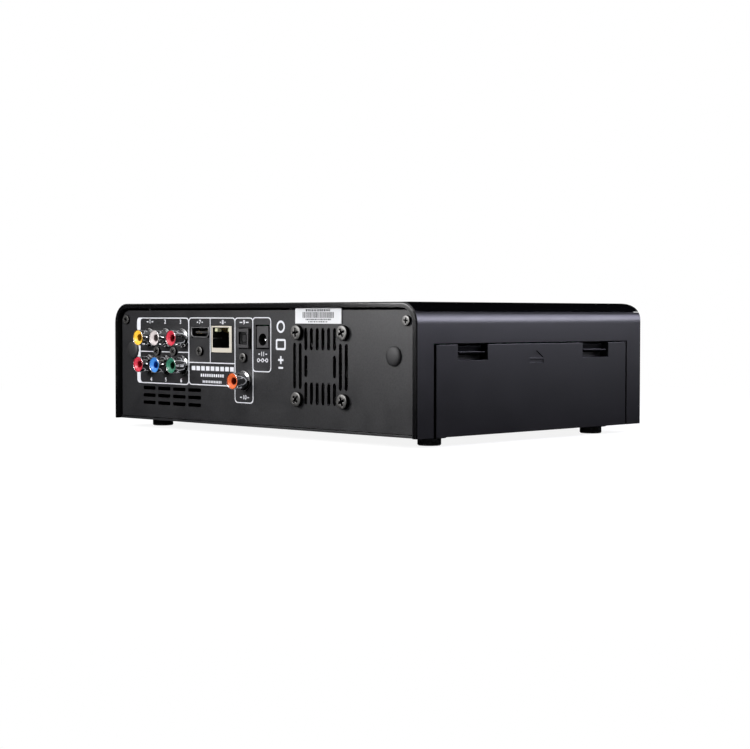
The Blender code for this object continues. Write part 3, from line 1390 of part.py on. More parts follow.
def make_latches():
    """Each latch is a column at the pocket's back, with a finger ledge and a wedge at its top."""
    back = POCKET_DEPTH - TRAY_PANEL - GAP
    column = back - LATCH_COLUMN
    face = -TRAY_PANEL + LATCH_FACE_RECESS
    bottom = TRAY_TOP - POCKET_DROP + LATCH_TRAVEL + GAP
    top = TRAY_TOP + TRAY_TOP_CLEARANCE - GAP
    ledge_top = TRAY_TOP - LATCH_LEDGE_DROP
    ledge_low = ledge_top - LATCH_LEDGE
    points = [
        (back, bottom), (back, top), (column + LATCH_WEDGE, top), (column, top - LATCH_WEDGE),
        (column, ledge_top), (face, ledge_top), (face, ledge_low), (column, ledge_low), (column, bottom),
    ]
    for name, side in (("latch_front", -1), ("latch_rear", 1)):
        origin = (0, side * LATCH_Y, 0)
        part(name, outline(name, [points], LATCH_WIDTH), "black", TRAY, origin, UPRIGHT)


def make_carrier():
    """A U-shaped tray of thin sheet with four moulded pins that hold the drive by its side holes."""
    outer = CARRIER_HALF
    inner = outer - CARRIER_SHEET
    top = CARRIER_BOTTOM + CARRIER_SIDE_HEIGHT
    floor = CARRIER_BOTTOM + CARRIER_SHEET
    channel = [
        (outer, CARRIER_BOTTOM), (outer, top), (inner, top), (inner, floor),
        (-inner, floor), (-inner, top), (-outer, top), (-outer, CARRIER_BOTTOM),
    ]
    length = DRIVE_END - GAP
    carrier = part(
        "tray_carrier",
        outline("tray_carrier", [channel], length),
        "satin",
        TRAY,
        (GAP + length / 2, 0, 0),
        SIDEWAYS,
    )
    wall = box(
        "carrier_front",
        (GAP, -outer + CARRIER_SHEET / 2, CARRIER_BOTTOM + CARRIER_SHEET / 2),
        (GAP + 2 * CARRIER_SHEET, outer - CARRIER_SHEET / 2, top - CARRIER_SHEET),
    )
    join(carrier, helper("carrier_front", wall, TRAY))
    pin_z = DRIVE_BOTTOM + DRIVE_PIN_RISE
    starts = []
    for share in DRIVE_PIN_SHARES:
        x = DRIVE_X + DRIVE_LENGTH * share
        starts.append((x, -inner - CARRIER_SHEET / 2, pin_z))
        starts.append((x, inner + CARRIER_SHEET / 2 - DRIVE_PIN_DEPTH, pin_z))
    pins = rods("carrier_pins", starts, "Y", DRIVE_PIN_RADIUS, DRIVE_PIN_DEPTH)
    join(carrier, helper("carrier_pins", pins, TRAY))


def make_drive():
    half = DRIVE_WIDTH / 2
    board_top = DRIVE_BOTTOM + DRIVE_BOARD_SHEET
    body_low = board_top + GAP
    body_top = DRIVE_TOP - DRIVE_COVER_SHEET - GAP
    body = part(
        "drive_housing",
        box("drive_housing", (DRIVE_X, -half, body_low), (DRIVE_END, half, body_top)),
        "alloy",
        TRAY,
    )
    holes = []
    for share in DRIVE_PIN_SHARES:
        x = DRIVE_X + DRIVE_LENGTH * share
        z = DRIVE_BOTTOM + DRIVE_PIN_RISE
        holes.append((x, -half - OVERRUN, z))
        holes.append((x, half - DRIVE_PIN_DEPTH, z))
    tools = rods("drive_holes", holes, "Y", DRIVE_PIN_RADIUS + GAP, DRIVE_PIN_DEPTH + OVERRUN)
    cut(body, helper("drive_holes", tools, TRAY))
    inset = DRIVE_COVER_INSET
    part(
        "drive_cover",
        box(
            "drive_cover",
            (DRIVE_X + inset, inset - half, DRIVE_TOP - DRIVE_COVER_SHEET),
            (DRIVE_END - inset, half - inset, DRIVE_TOP),
        ),
        "steel",
        TRAY,
    )
    part(
        "drive_board",
        box(
            "drive_board",
            (DRIVE_X + DRIVE_LENGTH * DRIVE_BOARD_SHARE, inset - half, DRIVE_BOTTOM),
            (DRIVE_END, half - inset, board_top),
        ),
        "board",
        TRAY,
    )


# Guide rails under the carrier
RAIL_HEIGHT = 0.0075
RAIL_WALL = 0.002
RAIL_LEDGE = 0.0045
RAIL_INSET = 0.0016


def make_rails():
    inner = CARRIER_HALF + GAP
    bottom = PLATE_THICKNESS + GAP
    ledge_top = CARRIER_BOTTOM - GAP
    section = [
        (inner + RAIL_WALL, bottom), (inner + RAIL_WALL, bottom + RAIL_HEIGHT), (inner, bottom + RAIL_HEIGHT),
        (inner, ledge_top), (inner - RAIL_LEDGE, ledge_top), (inner - RAIL_LEDGE, bottom),
    ]
    length = DRIVE_END - RAIL_INSET
    x = TRAY_BACK + RAIL_INSET + length / 2
    mirrored = [(-y, z) for y, z in reversed(section)]
    for name, loop in (("guide_rail_rear", section), ("guide_rail_front", mirrored)):
        part(name, outline(name, [loop], length), "steel", CASE, (x, 0, 0), SIDEWAYS)


def make_backplane():
    x = BACKPLANE_FACE
    half = BACKPLANE_WIDTH / 2
    low = (x, -half, BACKPLANE_RISE)
    high = (x + BOARD_SHEET, half, BOARD_UNDERSIDE - GAP)
    plane = part("drive_backplane", box("drive_backplane", low, high), "board", CASE)
    wide = SOCKET_WIDTH / 2
    socket = box(
        "drive_socket",
        (x - SOCKET_DEPTH, -wide, SOCKET_RISE),
        (x + BOARD_SHEET / 2, wide, SOCKET_RISE + SOCKET_HEIGHT),
    )
    join(plane, helper("drive_socket", socket, CASE))


def make_player():
    make_hood()
    make_top_cover()
    make_base()
    make_rear_panel()
    make_screws()
    make_plugs()
    make_label()
    make_rca()
    make_digital_audio()
    make_hdmi()
    make_lan()
    make_dc_inlet()
    make_fan_frame()
    make_fan_rotor()
    make_fan_cable()
    make_main_board()
    make_usb()
    make_front()
    make_tray_front()
    make_latches()
    make_carrier()
    make_drive()
    make_rails()
    make_backplane()


make_player()
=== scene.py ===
"""Looks of the media player: finishes, printing, sockets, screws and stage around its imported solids.

Metres, in the same frame as the solids: the rear panel faces +Y, the drive tray leaves towards -X,
and +Z is up.
"""

import json
import math
import random

import bmesh
import bpy
from mathutils import Matrix, Vector

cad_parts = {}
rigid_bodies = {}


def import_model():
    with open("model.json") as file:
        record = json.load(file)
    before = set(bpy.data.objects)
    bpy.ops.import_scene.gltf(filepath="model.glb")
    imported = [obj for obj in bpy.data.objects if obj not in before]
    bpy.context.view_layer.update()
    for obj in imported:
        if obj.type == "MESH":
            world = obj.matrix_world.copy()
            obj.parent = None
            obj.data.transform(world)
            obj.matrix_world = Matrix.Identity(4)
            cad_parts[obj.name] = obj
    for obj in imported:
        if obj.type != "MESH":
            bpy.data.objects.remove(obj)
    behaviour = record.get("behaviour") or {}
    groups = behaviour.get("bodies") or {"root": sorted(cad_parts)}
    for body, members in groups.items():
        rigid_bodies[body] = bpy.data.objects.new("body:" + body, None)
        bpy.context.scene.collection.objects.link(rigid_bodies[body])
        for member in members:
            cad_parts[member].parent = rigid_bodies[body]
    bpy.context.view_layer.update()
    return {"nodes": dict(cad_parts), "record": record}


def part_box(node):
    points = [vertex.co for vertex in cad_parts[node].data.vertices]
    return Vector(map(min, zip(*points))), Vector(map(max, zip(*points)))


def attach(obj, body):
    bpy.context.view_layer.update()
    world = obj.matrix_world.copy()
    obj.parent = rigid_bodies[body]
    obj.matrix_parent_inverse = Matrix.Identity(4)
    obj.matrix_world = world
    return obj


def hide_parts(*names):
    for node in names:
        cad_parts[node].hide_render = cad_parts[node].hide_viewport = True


for leftover in list(bpy.data.objects):
    bpy.data.objects.remove(leftover, do_unlink=True)
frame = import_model()
NODES = frame["nodes"]
SLOT_OF = {subpart["node"]: subpart["material_slot"] for subpart in frame["record"]["subparts"]}

MM = 0.001


def middle(node):
    low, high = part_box(node)
    return (low + high) / 2


# Places taken from the solids
FACE_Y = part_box("rear_panel")[1].y
SHELL_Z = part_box("hood")[0].z

# Turns a round piece's axis from +Z to the rear
TO_REAR = Matrix.Rotation(math.radians(-90), 4, "X")


def facing_rear(node, y, drop=0):
    """Place of a turned piece behind a solid's middle, with its height zero at Y."""
    centre = middle(node)
    return Matrix.Translation((centre.x, y, centre.z - drop)) @ TO_REAR


def link_object(name, data):
    """A new object in the scene."""
    obj = bpy.data.objects.new(name, data)
    bpy.context.scene.collection.objects.link(obj)
    return obj


def new_material(name, clear=False):
    """A material and its node tree, emptied if asked."""
    material = bpy.data.materials.new(name)
    material.use_nodes = True
    if clear:
        material.node_tree.nodes.clear()
    return material, material.node_tree


def final_mesh(obj, *helpers):
    """An object's mesh after its modifiers. The object and its helpers are removed."""
    graph = bpy.context.evaluated_depsgraph_get()
    mesh = bpy.data.meshes.new_from_object(obj.evaluated_get(graph))
    for each in (obj, *helpers):
        bpy.data.objects.remove(each, do_unlink=True)
    return mesh


def math_node(tree, operation, first, second=None):
    """Result of a Math node whose inputs are sockets or numbers."""
    node = tree.nodes.new("ShaderNodeMath")
    node.operation = operation
    for socket, value in zip(node.inputs, (first, second)):
        if isinstance(value, (int, float)):
            socket.default_value = value
        elif value is not None:
            tree.links.new(value, socket)
    return node.outputs[0]


def mix_shaders(tree, factor, first, second):
    """Output of a Mix Shader node: the first where the factor is 0, the second where it is 1."""
    mix = tree.nodes.new("ShaderNodeMixShader")
    for socket, value in zip(mix.inputs, (factor, first, second)):
        tree.links.new(value, socket)
    return mix.outputs[0]


def map_range(tree, value, outputs, inputs=(0, 1)):
    """Result of a Map Range node over a socket."""
    node = tree.nodes.new("ShaderNodeMapRange")
    for word, (low, high) in (("From", inputs), ("To", outputs)):
        node.inputs[word + " Min"].default_value = low
        node.inputs[word + " Max"].default_value = high
    tree.links.new(value, node.inputs["Value"])
    return node.outputs["Result"]


# Camera, fitted to the photograph
CAMERA_PLACE = (-0.6331, 0.6163, 0.0592)
CAMERA_YAW = math.radians(45.506)
CAMERA_PITCH = math.radians(1.979)
CAMERA_ROLL = math.radians(0.048)
CAMERA_LENS = 80.91
SENSOR_WIDTH = 36


def make_camera():
    camera = bpy.data.cameras.new("camera")
    camera.lens = CAMERA_LENS
    camera.sensor_width = SENSOR_WIDTH
    obj = link_object("camera", camera)
    level = math.cos(CAMERA_PITCH)
    view = Vector((
        math.sin(CAMERA_YAW) * level, -math.cos(CAMERA_YAW) * level, -math.sin(CAMERA_PITCH)
    ))
    turn = view.to_track_quat("-Z", "Y").to_matrix().to_4x4() @ Matrix.Rotation(CAMERA_ROLL, 4, "Z")
    obj.matrix_world = Matrix.Translation(CAMERA_PLACE) @ turn
    bpy.context.scene.camera = obj


# Stage
FLOOR_SIZE = 8
FLOOR_ALBEDO = 0.8
SHADE_ALBEDO = 0.20
FLOOR_GLOW = 0.88
FLOOR_NEAR = 0.25
FLOOR_FAR = 0.60
SKY_COLOUR = (0.93, 0.95, 1.0)
SKY_LIGHT = 0.34


def seen_directly(tree):
    """1 for camera, glossy and transmission rays, and 0 for the light that falls on the object."""
    path = tree.nodes.new("ShaderNodeLightPath")
    total = path.outputs["Is Camera Ray"]
    for ray in ("Is Glossy Ray", "Is Transmission Ray"):
        total = math_node(tree, "MAXIMUM", total, path.outputs[ray])
    return total


def make_sky():
    world = bpy.data.worlds.new("studio")
    bpy.context.scene.world = world
    world.use_nodes = True
    tree = world.node_tree
    light = tree.nodes["Background"]
    light.inputs["Color"].default_value = (*SKY_COLOUR, 1)
    light.inputs["Strength"].default_value = SKY_LIGHT
    white = tree.nodes.new("ShaderNodeBackground")
    white.inputs["Color"].default_value = (1, 1, 1, 1)
    white.inputs["Strength"].default_value = 1
    mixed = mix_shaders(tree, seen_directly(tree), light.outputs[0], white.outputs[0])
    tree.links.new(mixed, tree.nodes["World Output"].inputs["Surface"])


def stage_plane(name, size, location, rotation, material):
    shape = bmesh.new()
    bmesh.ops.create_grid(shape, x_segments=1, y_segments=1, size=0.5)
    bmesh.ops.scale(shape, vec=(size[0], size[1], 1), verts=shape.verts)
    mesh = bpy.data.meshes.new(name)
    shape.to_mesh(mesh)
    shape.free()
    mesh.materials.append(material)
    obj = link_object(name, mesh)
    obj.location = location
    obj.rotation_euler = rotation
    return obj


def make_floor():
    """A white floor that takes the player's shadow, and is plain white a little way off."""
    material, tree = new_material("floor", clear=True)
    paint, shade = (tree.nodes.new("ShaderNodeBsdfDiffuse") for _ in range(2))
    for diffuse, level in ((paint, FLOOR_ALBEDO), (shade, SHADE_ALBEDO)):
        diffuse.inputs["Color"].default_value = (level, level, level, 1)
    glow = tree.nodes.new("ShaderNodeEmission")
    glow.inputs["Strength"].default_value = FLOOR_GLOW
    both = tree.nodes.new("ShaderNodeAddShader")
    white = tree.nodes.new("ShaderNodeEmission")
    distance = tree.nodes.new("ShaderNodeVectorMath")
    distance.operation = "LENGTH"
    tree.links.new(tree.nodes.new("ShaderNodeTexCoord").outputs["Object"], distance.inputs[0])
    spread = map_range(tree, distance.outputs["Value"], (0, 1), (FLOOR_NEAR, FLOOR_FAR))
    output = tree.nodes.new("ShaderNodeOutputMaterial")
    tree.links.new(shade.outputs[0], both.inputs[0])
    tree.links.new(glow.outputs[0], both.inputs[1])
    seen = mix_shaders(tree, spread, both.outputs[0], white.outputs[0])
    mixed = mix_shaders(tree, seen_directly(tree), paint.outputs[0], seen)
    tree.links.new(mixed, output.inputs["Surface"])
    stage_plane("floor", (FLOOR_SIZE, FLOOR_SIZE), (0, 0, 0), (0, 0, 0), material)


# Black cards that only reflections see, as photographers stand round a black glossy object:
# name, width and height, place, turn in degrees
CARD_LEVEL = 0.002
CARDS = (
    ("card_behind", (2.2, 2.0), (0.75, -0.75, 0.90), (90, 0, 45)),
    ("card_right", (1.9, 1.2), (-1.00, -0.80, 0.50), (90, 0, -51)),
    ("card_left", (1.9, 0.8), (0.95, 0.90, 0.30), (90, 0, -45)),
    ("card_camera", (2.0, 1.6), (-1.10, 1.10, 0.70), (90, 0, 45)),
    ("card_front", (2.6, 2.8), (-0.1, -1.35, 1.30), (90, 0, 0)),
    ("card_floor", (1.9, 1.9), (0, 0, 0.0004), (0, 0, 45)),
)


def make_cards():
    material, tree = new_material("black_card", clear=True)
    glow = tree.nodes.new("ShaderNodeEmission")
    glow.inputs["Color"].default_value = (CARD_LEVEL, CARD_LEVEL, CARD_LEVEL, 1)
    output = tree.nodes.new("ShaderNodeOutputMaterial")
    tree.links.new(glow.outputs[0], output.inputs["Surface"])
    for name, size, location, turn in CARDS:
        rotation = [math.radians(angle) for angle in turn]
        card = stage_plane(name, size, location, rotation, material)
        for ray in ("camera", "diffuse", "transmission", "volume_scatter", "shadow"):
            setattr(card, "visible_" + ray, False)


# Soft boxes: name, power in watts, width and height, place, what it points at, colour
TARGET = (0, 0, 0.035)
SOFT_BOXES = (
    ("sheen", 0.84, (0.12, 0.12), (0.10, 0.34, 0.14), (-0.07, 0.077, 0.045), (1.0, 0.99, 1.0)),
    ("corner", 0.9, (0.36, 0.10), (-0.185, 0.37, 0.53), (-0.11, 0.085, 0.06), (1.0, 0.99, 0.97)),
    ("side", 2.3, (0.70, 0.16), (-0.62, -0.56, 0.36), (-0.11, 0.0, 0.05), (0.79, 0.76, 1.0)),
    ("strip", 0.60, (0.36, 0.03), (-0.26, -0.15, 0.125), (-0.113, -0.15, 0.05), (0.84, 0.84, 1.0)),
    ("low", 0.016, (0.12, 0.06), (-0.33, -0.31, 0.05), (-0.113, -0.08, 0.035), (0.90, 0.90, 1.0)),
    ("top", 3.0, (0.9, 0.9), (0.0, 0.0, 1.3), TARGET, (1.0, 1.0, 1.0)),
    ("front", 2.0, (0.5, 0.3), (0.80, -0.55, 0.50), TARGET, (1.0, 1.0, 1.0)),
)


def make_lights():
    for name, power, size, place, target, colour in SOFT_BOXES:
        light = bpy.data.lights.new(name, "AREA")
        light.shape = "RECTANGLE"
        light.size, light.size_y = size
        light.energy = power
        light.color = colour
        obj = link_object(name, light)
        obj.location = place
        obj.rotation_euler = (Vector(target) - Vector(place)).to_track_quat("-Z", "Y").to_euler()
        obj.visible_camera = False


# Finishes: colour, roughness, metallic value, grain pitch in mm, grain height in mm, unevenness
FINISHES = {
    "satin_plastic": ((0.0016, 0.0016, 0.0020), 0.37, 0.0, 0.35, 0.006, 0.04),
    "gloss_plastic": ((0.0014, 0.0014, 0.0017), 0.05, 0.0, 9.0, 0.002, 0.12),
    "painted_steel": ((0.0135, 0.0136, 0.0150), 0.42, 0.0, 0.70, 0.030, 0.12),
    "foot_rubber": ((0.010, 0.010, 0.010), 0.75, 0.0, 0.5, 0.020, 0.25),
    "black_plastic": ((0.012, 0.012, 0.013), 0.40, 0.0, 0.4, 0.006, 0.15),
    "plated_metal": ((0.68, 0.68, 0.69), 0.09, 1.0, 3.0, 0.001, 0.06),
    "screw_steel": ((0.15, 0.148, 0.143), 0.42, 0.9, 0.5, 0.010, 0.20),
    "stamped_steel": ((0.60, 0.61, 0.62), 0.32, 1.0, 0.8, 0.005, 0.10),
    "tinned_shield": ((0.62, 0.58, 0.49), 0.38, 0.35, 0.9, 0.005, 0.08),
    "cast_alloy": ((0.50, 0.51, 0.53), 0.42, 1.0, 0.6, 0.015, 0.12),
    "label_film": ((0.63, 0.64, 0.65), 0.45, 0.0, 0.8, 0.002, 0.03),
    "smoked_window": ((0.035, 0.004, 0.006), 0.05, 0.0, 9.0, 0.001, 0.10),
    "cable_sheath": ((0.45, 0.03, 0.03), 0.55, 0.0, 0.6, 0.006, 0.12),
    "white_ink": ((0.60, 0.61, 0.64), 0.55, 0.0, 0.4, 0.002, 0.06),
    "grey_ink": ((0.05, 0.05, 0.055), 0.55, 0.0, 0.4, 0.002, 0.10),
    "gold_contact": ((0.83, 0.62, 0.25), 0.25, 1.0, 0.8, 0.002, 0.08),
    "pale_lens": ((0.55, 0.56, 0.36), 0.20, 0.0, 1.0, 0.002, 0.10),
    "socket_rim": ((0.42, 0.42, 0.43), 0.28, 0.9, 0.8, 0.002, 0.08),
    "socket_body": ((0.036, 0.035, 0.037), 0.42, 0.0, 0.6, 0.006, 0.12),
    # Painted shade: black for the liners in the bores and the screws' recesses and sides
    "painted_shade_black": ((0.0010, 0.0010, 0.0011), 0.55, 0.0, 0.6, 0.002, 0.20),
    "plug_plastic": ((0.016, 0.016, 0.017), 0.52, 0.0, 0.4, 0.006, 0.12),
}
# Insulators of the RCA sockets: colour, darker in the bore as painted shade; colour of the rim and funnel, a
# paler copy as painted highlight; unevenness
INSULATORS = {
    "yellow": ((0.42, 0.19, 0.004), (0.84, 0.47, 0.035), 0.08),
    "white": ((0.20, 0.16, 0.16), (0.52, 0.47, 0.46), 0.05),
    "red": ((0.31, 0.004, 0.011), (0.52, 0.030, 0.055), 0.10),
    "blue": ((0.003, 0.05, 0.36), (0.040, 0.20, 0.56), 0.10),
    "green": ((0.002, 0.030, 0.012), (0.030, 0.16, 0.10), 0.10),
    "orange": ((0.17, 0.010, 0.002), (0.66, 0.12, 0.03), 0.08),
}
for shade, (body, rim, uneven) in INSULATORS.items():
    FINISHES[shade + "_plastic"] = (body, 0.30, 0.0, 0.8, 0.004, uneven)
    FINISHES[shade + "_rim"] = (rim, 0.24, 0.0, 0.8, 0.004, uneven)
# The hood's finish without its polished rim. surface() paints shade on some faces of both: black, with no
# shine, in the latch pockets and on the latches' fronts.
FINISHES["tray_plastic_painted_shade"] = FINISHES["latch_plastic_painted_shade"] = FINISHES["satin_plastic"]
NOISE_RANGE = (0.3, 0.7)


def noise(tree, coordinates, size, detail):
    """Noise whose features are about the size given, in metres."""
    node = tree.nodes.new("ShaderNodeTexNoise")
    node.inputs["Scale"].default_value = 1 / size
    node.inputs["Detail"].default_value = detail
    tree.links.new(coordinates, node.inputs["Vector"])
    return node.outputs["Fac"]


def vary(tree, factor, low, high, socket):
    """Feeds a socket with a value that follows a noise between two limits."""
    tree.links.new(map_range(tree, factor, (low, high), NOISE_RANGE), socket)


def blend_colours(tree, factor, first, second, socket):
    mix = tree.nodes.new("ShaderNodeMix")
    mix.data_type = "RGBA"
    mix.inputs["A"].default_value = (*first, 1)
    mix.inputs["B"].default_value = (*second, 1)
    tree.links.new(factor, mix.inputs["Factor"])
    tree.links.new(mix.outputs["Result"], socket)


def raise_grain(tree, factor, height, shader):
    bump = tree.nodes.new("ShaderNodeBump")
    bump.inputs["Strength"].default_value = 1
    bump.inputs["Distance"].default_value = height
    tree.links.new(factor, bump.inputs["Height"])
    tree.links.new(bump.outputs["Normal"], shader.inputs["Normal"])


BLOTCH_SIZE = 0.012
SPECKLE_SIZE = 0.0009
SPECKLE_LEVEL = 0.30
# How squarely a face must look along an axis, and the painted shade or the gloss it then has: painted shade
# on walls of openings and on faces in recesses, more gloss on end faces
WALL_LIMIT = 0.5
PAINTED_WALL_SHADES = {"painted_steel": 0.10, "socket_body": 0.10, "socket_rim": 0.10, "tinned_shield": 0.02}
POLISH_LIMIT = 0.2
RIM_GLOSS = 0.52
SHADE_FACE_LIMIT = {"Z": 0.25, "X": 0.95}
SHADE_FACE_LEVEL = 0.4
EDGE_KEPT = 0.0015
# The black of the painted shade has little shine
SPECULAR_LEVELS = {"painted_shade_black": 0.1}


def shade_socket(tree, shader):
    """Socket of a factor that scales the shader's colour."""
    level = tree.nodes.new("ShaderNodeHueSaturation")
    tree.links.new(shader.inputs["Base Color"].links[0].from_socket, level.inputs["Color"])
    tree.links.new(level.outputs["Color"], shader.inputs["Base Color"])
    return level.inputs["Value"]


def speckle(tree, coordinates, shader):
    """Fine specks over a paint's colour."""
    specks = noise(tree, coordinates, SPECKLE_SIZE, 1)
    vary(tree, specks, 1 - SPECKLE_LEVEL, 1 + SPECKLE_LEVEL, shade_socket(tree, shader))


def facing_axis(tree, axis, limit):
    """1 on the faces that look along an axis, and 0 on the others."""
    parts = tree.nodes.new("ShaderNodeSeparateXYZ")
    tree.links.new(tree.nodes.new("ShaderNodeTexCoord").outputs["Normal"], parts.inputs[0])
    return math_node(tree, "GREATER_THAN", math_node(tree, "ABSOLUTE", parts.outputs[axis]), limit)


def polish_rim(tree, shader):
    """Makes the end faces a little glossier than the rest."""
    level = map_range(tree, facing_axis(tree, "Y", POLISH_LIMIT), (1, RIM_GLOSS))
    roughness = shader.inputs["Roughness"]
    tree.links.new(math_node(tree, "MULTIPLY", roughness.links[0].from_socket, level), roughness)


def paint_shade_on_faces(tree, shader, axis, top=None):
    """Paints shade on the faces that look along an axis, below a height if one is given: a dark colour, and
    a black metallic that takes off their shine.
    """
    facing = facing_axis(tree, axis, SHADE_FACE_LIMIT[axis])
    if top is not None:
        parts = tree.nodes.new("ShaderNodeSeparateXYZ")
        tree.links.new(tree.nodes.new("ShaderNodeTexCoord").outputs["Object"], parts.inputs[0])
        below = math_node(tree, "LESS_THAN", parts.outputs["Z"], top)
        facing = math_node(tree, "MULTIPLY", facing, below)
    tree.links.new(facing, shader.inputs["Metallic"])
    tree.links.new(map_range(tree, facing, (1, SHADE_FACE_LEVEL)), shade_socket(tree, shader))


def paint_wall_shade(tree, shader, shade):
    """Paints shade on the walls of the openings through a sheet that faces Y: they are darkened in the
    colour.
    """
    facing = facing_axis(tree, "Y", WALL_LIMIT)
    tree.links.new(map_range(tree, facing, (shade, 1)), shade_socket(tree, shader))


def surface(name):
    """A finish with its grain, and with slow changes of shade and gloss over the piece."""
    colour, roughness, metallic, pitch, height, uneven = FINISHES[name]
    material, tree = new_material(name)
    shader = tree.nodes["Principled BSDF"]
    shader.inputs["Metallic"].default_value = metallic
    if name in SPECULAR_LEVELS:
        shader.inputs["Specular IOR Level"].default_value = SPECULAR_LEVELS[name]
    coordinates = tree.nodes.new("ShaderNodeTexCoord").outputs["Object"]
    blotches = noise(tree, coordinates, BLOTCH_SIZE, 4)
    dark = [value * (1 - uneven) for value in colour]
    light = [value * (1 + uneven) for value in colour]
    blend_colours(tree, blotches, dark, light, shader.inputs["Base Color"])
    grain = noise(tree, coordinates, pitch * MM, 2)
    vary(tree, blotches, roughness * (1 - uneven), roughness * (1 + uneven), shader.inputs["Roughness"])
    raise_grain(tree, grain, height * MM, shader)
    if name == "painted_steel":
        speckle(tree, coordinates, shader)
    if name == "satin_plastic":
        polish_rim(tree, shader)
    # Painted shade in the latch pockets: faces that look up or down go black below the top edge
    if name == "tray_plastic_painted_shade":
        paint_shade_on_faces(tree, shader, "Z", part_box("tray_front")[1].z - EDGE_KEPT)
    # Painted shade on the latches' fronts
    if name == "latch_plastic_painted_shade":
        paint_shade_on_faces(tree, shader, "X")
    # Painted shade: walls of slots, bores and socket openings are darkened in the colour
    if name in PAINTED_WALL_SHADES:
        paint_wall_shade(tree, shader, PAINTED_WALL_SHADES[name])
    return material


BOARD_GREEN = (0.012, 0.085, 0.040)
BOARD_TRACE = (0.030, 0.150, 0.070)
BOARD_ROUGHNESS = 0.35
TRACE_SPACING = 0.0048
TRACE_SHARE = 0.06
TRACE_HEIGHT = 0.00002


def circuit_board():
    """Green solder resist over a net of tracks."""
    material, tree = new_material("circuit_board")
    shader = tree.nodes["Principled BSDF"]
    shader.inputs["Roughness"].default_value = BOARD_ROUGHNESS
    coordinates = tree.nodes.new("ShaderNodeTexCoord").outputs["Object"]
    cells = tree.nodes.new("ShaderNodeTexVoronoi")
    cells.feature = "DISTANCE_TO_EDGE"
    cells.inputs["Scale"].default_value = 1 / TRACE_SPACING
    tree.links.new(coordinates, cells.inputs["Vector"])
    edge = math_node(tree, "LESS_THAN", cells.outputs["Distance"], TRACE_SHARE)
    blend_colours(tree, edge, BOARD_GREEN, BOARD_TRACE, shader.inputs["Base Color"])
    raise_grain(tree, edge, TRACE_HEIGHT, shader)
    return material


SURFACES = {name: surface(name) for name in FINISHES}
SURFACES["circuit_board"] = circuit_board()


# Crisp edges and smooth rounds on the solids
SHARP_ANGLE = math.radians(32)
WELD_DISTANCE = 1e-6
FLAT_ANGLE = math.radians(0.6)
NORMAL_WEIGHT = 100


def geometry_group(name):
    """A geometry node group with its input and output nodes."""
    group = bpy.data.node_groups.new(name, "GeometryNodeTree")
    for direction in ("INPUT", "OUTPUT"):
        group.interface.new_socket(name="Geometry", in_out=direction, socket_type="NodeSocketGeometry")
    return group, group.nodes.new("NodeGroupInput"), group.nodes.new("NodeGroupOutput")


def rounding_group():
    """Geometry nodes that shade a mesh smooth, apart from its sharp edges."""
    group, start, end = geometry_group("smooth_by_angle")
    angle = group.nodes.new("GeometryNodeInputMeshEdgeAngle")
    sharp = group.nodes.new("FunctionNodeCompare")
    sharp.data_type = "FLOAT"
    sharp.operation = "GREATER_THAN"
    sharp.inputs["B"].default_value = SHARP_ANGLE
    normal = group.nodes.new("GeometryNodeSetMeshNormal")
    normal.inputs["Remove Custom"].default_value = True
    group.links.new(angle.outputs["Unsigned Angle"], sharp.inputs["A"])
    group.links.new(sharp.outputs["Result"], normal.inputs["Edge Sharpness"])
    group.links.new(start.outputs["Geometry"], normal.inputs["Mesh"])
    group.links.new(normal.outputs["Mesh"], end.inputs["Geometry"])
    return group


SMOOTH = rounding_group()

# Bevel of the hood's outer rear edge, how near the outside an edge counts as outer, the hood's fillet
REAR_ROUND = 0.00085
REAR_SEGMENTS = 4
REAR_BAND = 0.00125
REAR_DEPTH = 0.00001
HOOD_FILLET = 0.010


def rear_edge_group():
    """Geometry nodes that mark the outer rear edges of the hood for a wider bevel."""
    group, start, end = geometry_group("rear_edges")
    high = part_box("hood")[1]
    place = group.nodes.new("GeometryNodeInputPosition")
    parts = group.nodes.new("ShaderNodeSeparateXYZ")
    group.links.new(place.outputs[0], parts.inputs[0])
    squares = []
    for value, edge in (
        (math_node(group, "ABSOLUTE", parts.outputs["X"]), high.x), (parts.outputs["Z"], high.z)
    ):
        past = math_node(group, "SUBTRACT", value, edge - HOOD_FILLET)
        squares.append(math_node(group, "POWER", math_node(group, "MAXIMUM", past, 0), 2))
    reach = math_node(group, "SQRT", math_node(group, "ADD", *squares))
    outer = math_node(group, "GREATER_THAN", reach, HOOD_FILLET - REAR_BAND)
    rear = math_node(group, "GREATER_THAN", parts.outputs["Y"], high.y - REAR_DEPTH)
    angle = group.nodes.new("GeometryNodeInputMeshEdgeAngle")
    sharp = math_node(group, "GREATER_THAN", angle.outputs["Unsigned Angle"], SHARP_ANGLE)
    weight = math_node(group, "MULTIPLY", math_node(group, "MULTIPLY", outer, rear), sharp)
    store = group.nodes.new("GeometryNodeStoreNamedAttribute")
    store.data_type = "FLOAT"
    store.domain = "EDGE"
    store.inputs["Name"].default_value = "bevel_weight_edge"
    group.links.new(start.outputs[0], store.inputs["Geometry"])
    group.links.new(weight, store.inputs["Value"])
    group.links.new(store.outputs[0], end.inputs[0])
    return group


def round_rear_edge(obj):
    """Rounds the hood's outer rear edge more than its other edges."""
    marks = obj.modifiers.new("rear_edges", "NODES")
    marks.node_group = rear_edge_group()
    bevel = obj.modifiers.new("rear_round", "BEVEL")
    bevel.limit_method = "WEIGHT"
    bevel.width = REAR_ROUND
    bevel.segments = REAR_SEGMENTS
    bevel.use_clamp_overlap = True


EDGE_SEGMENTS = 2


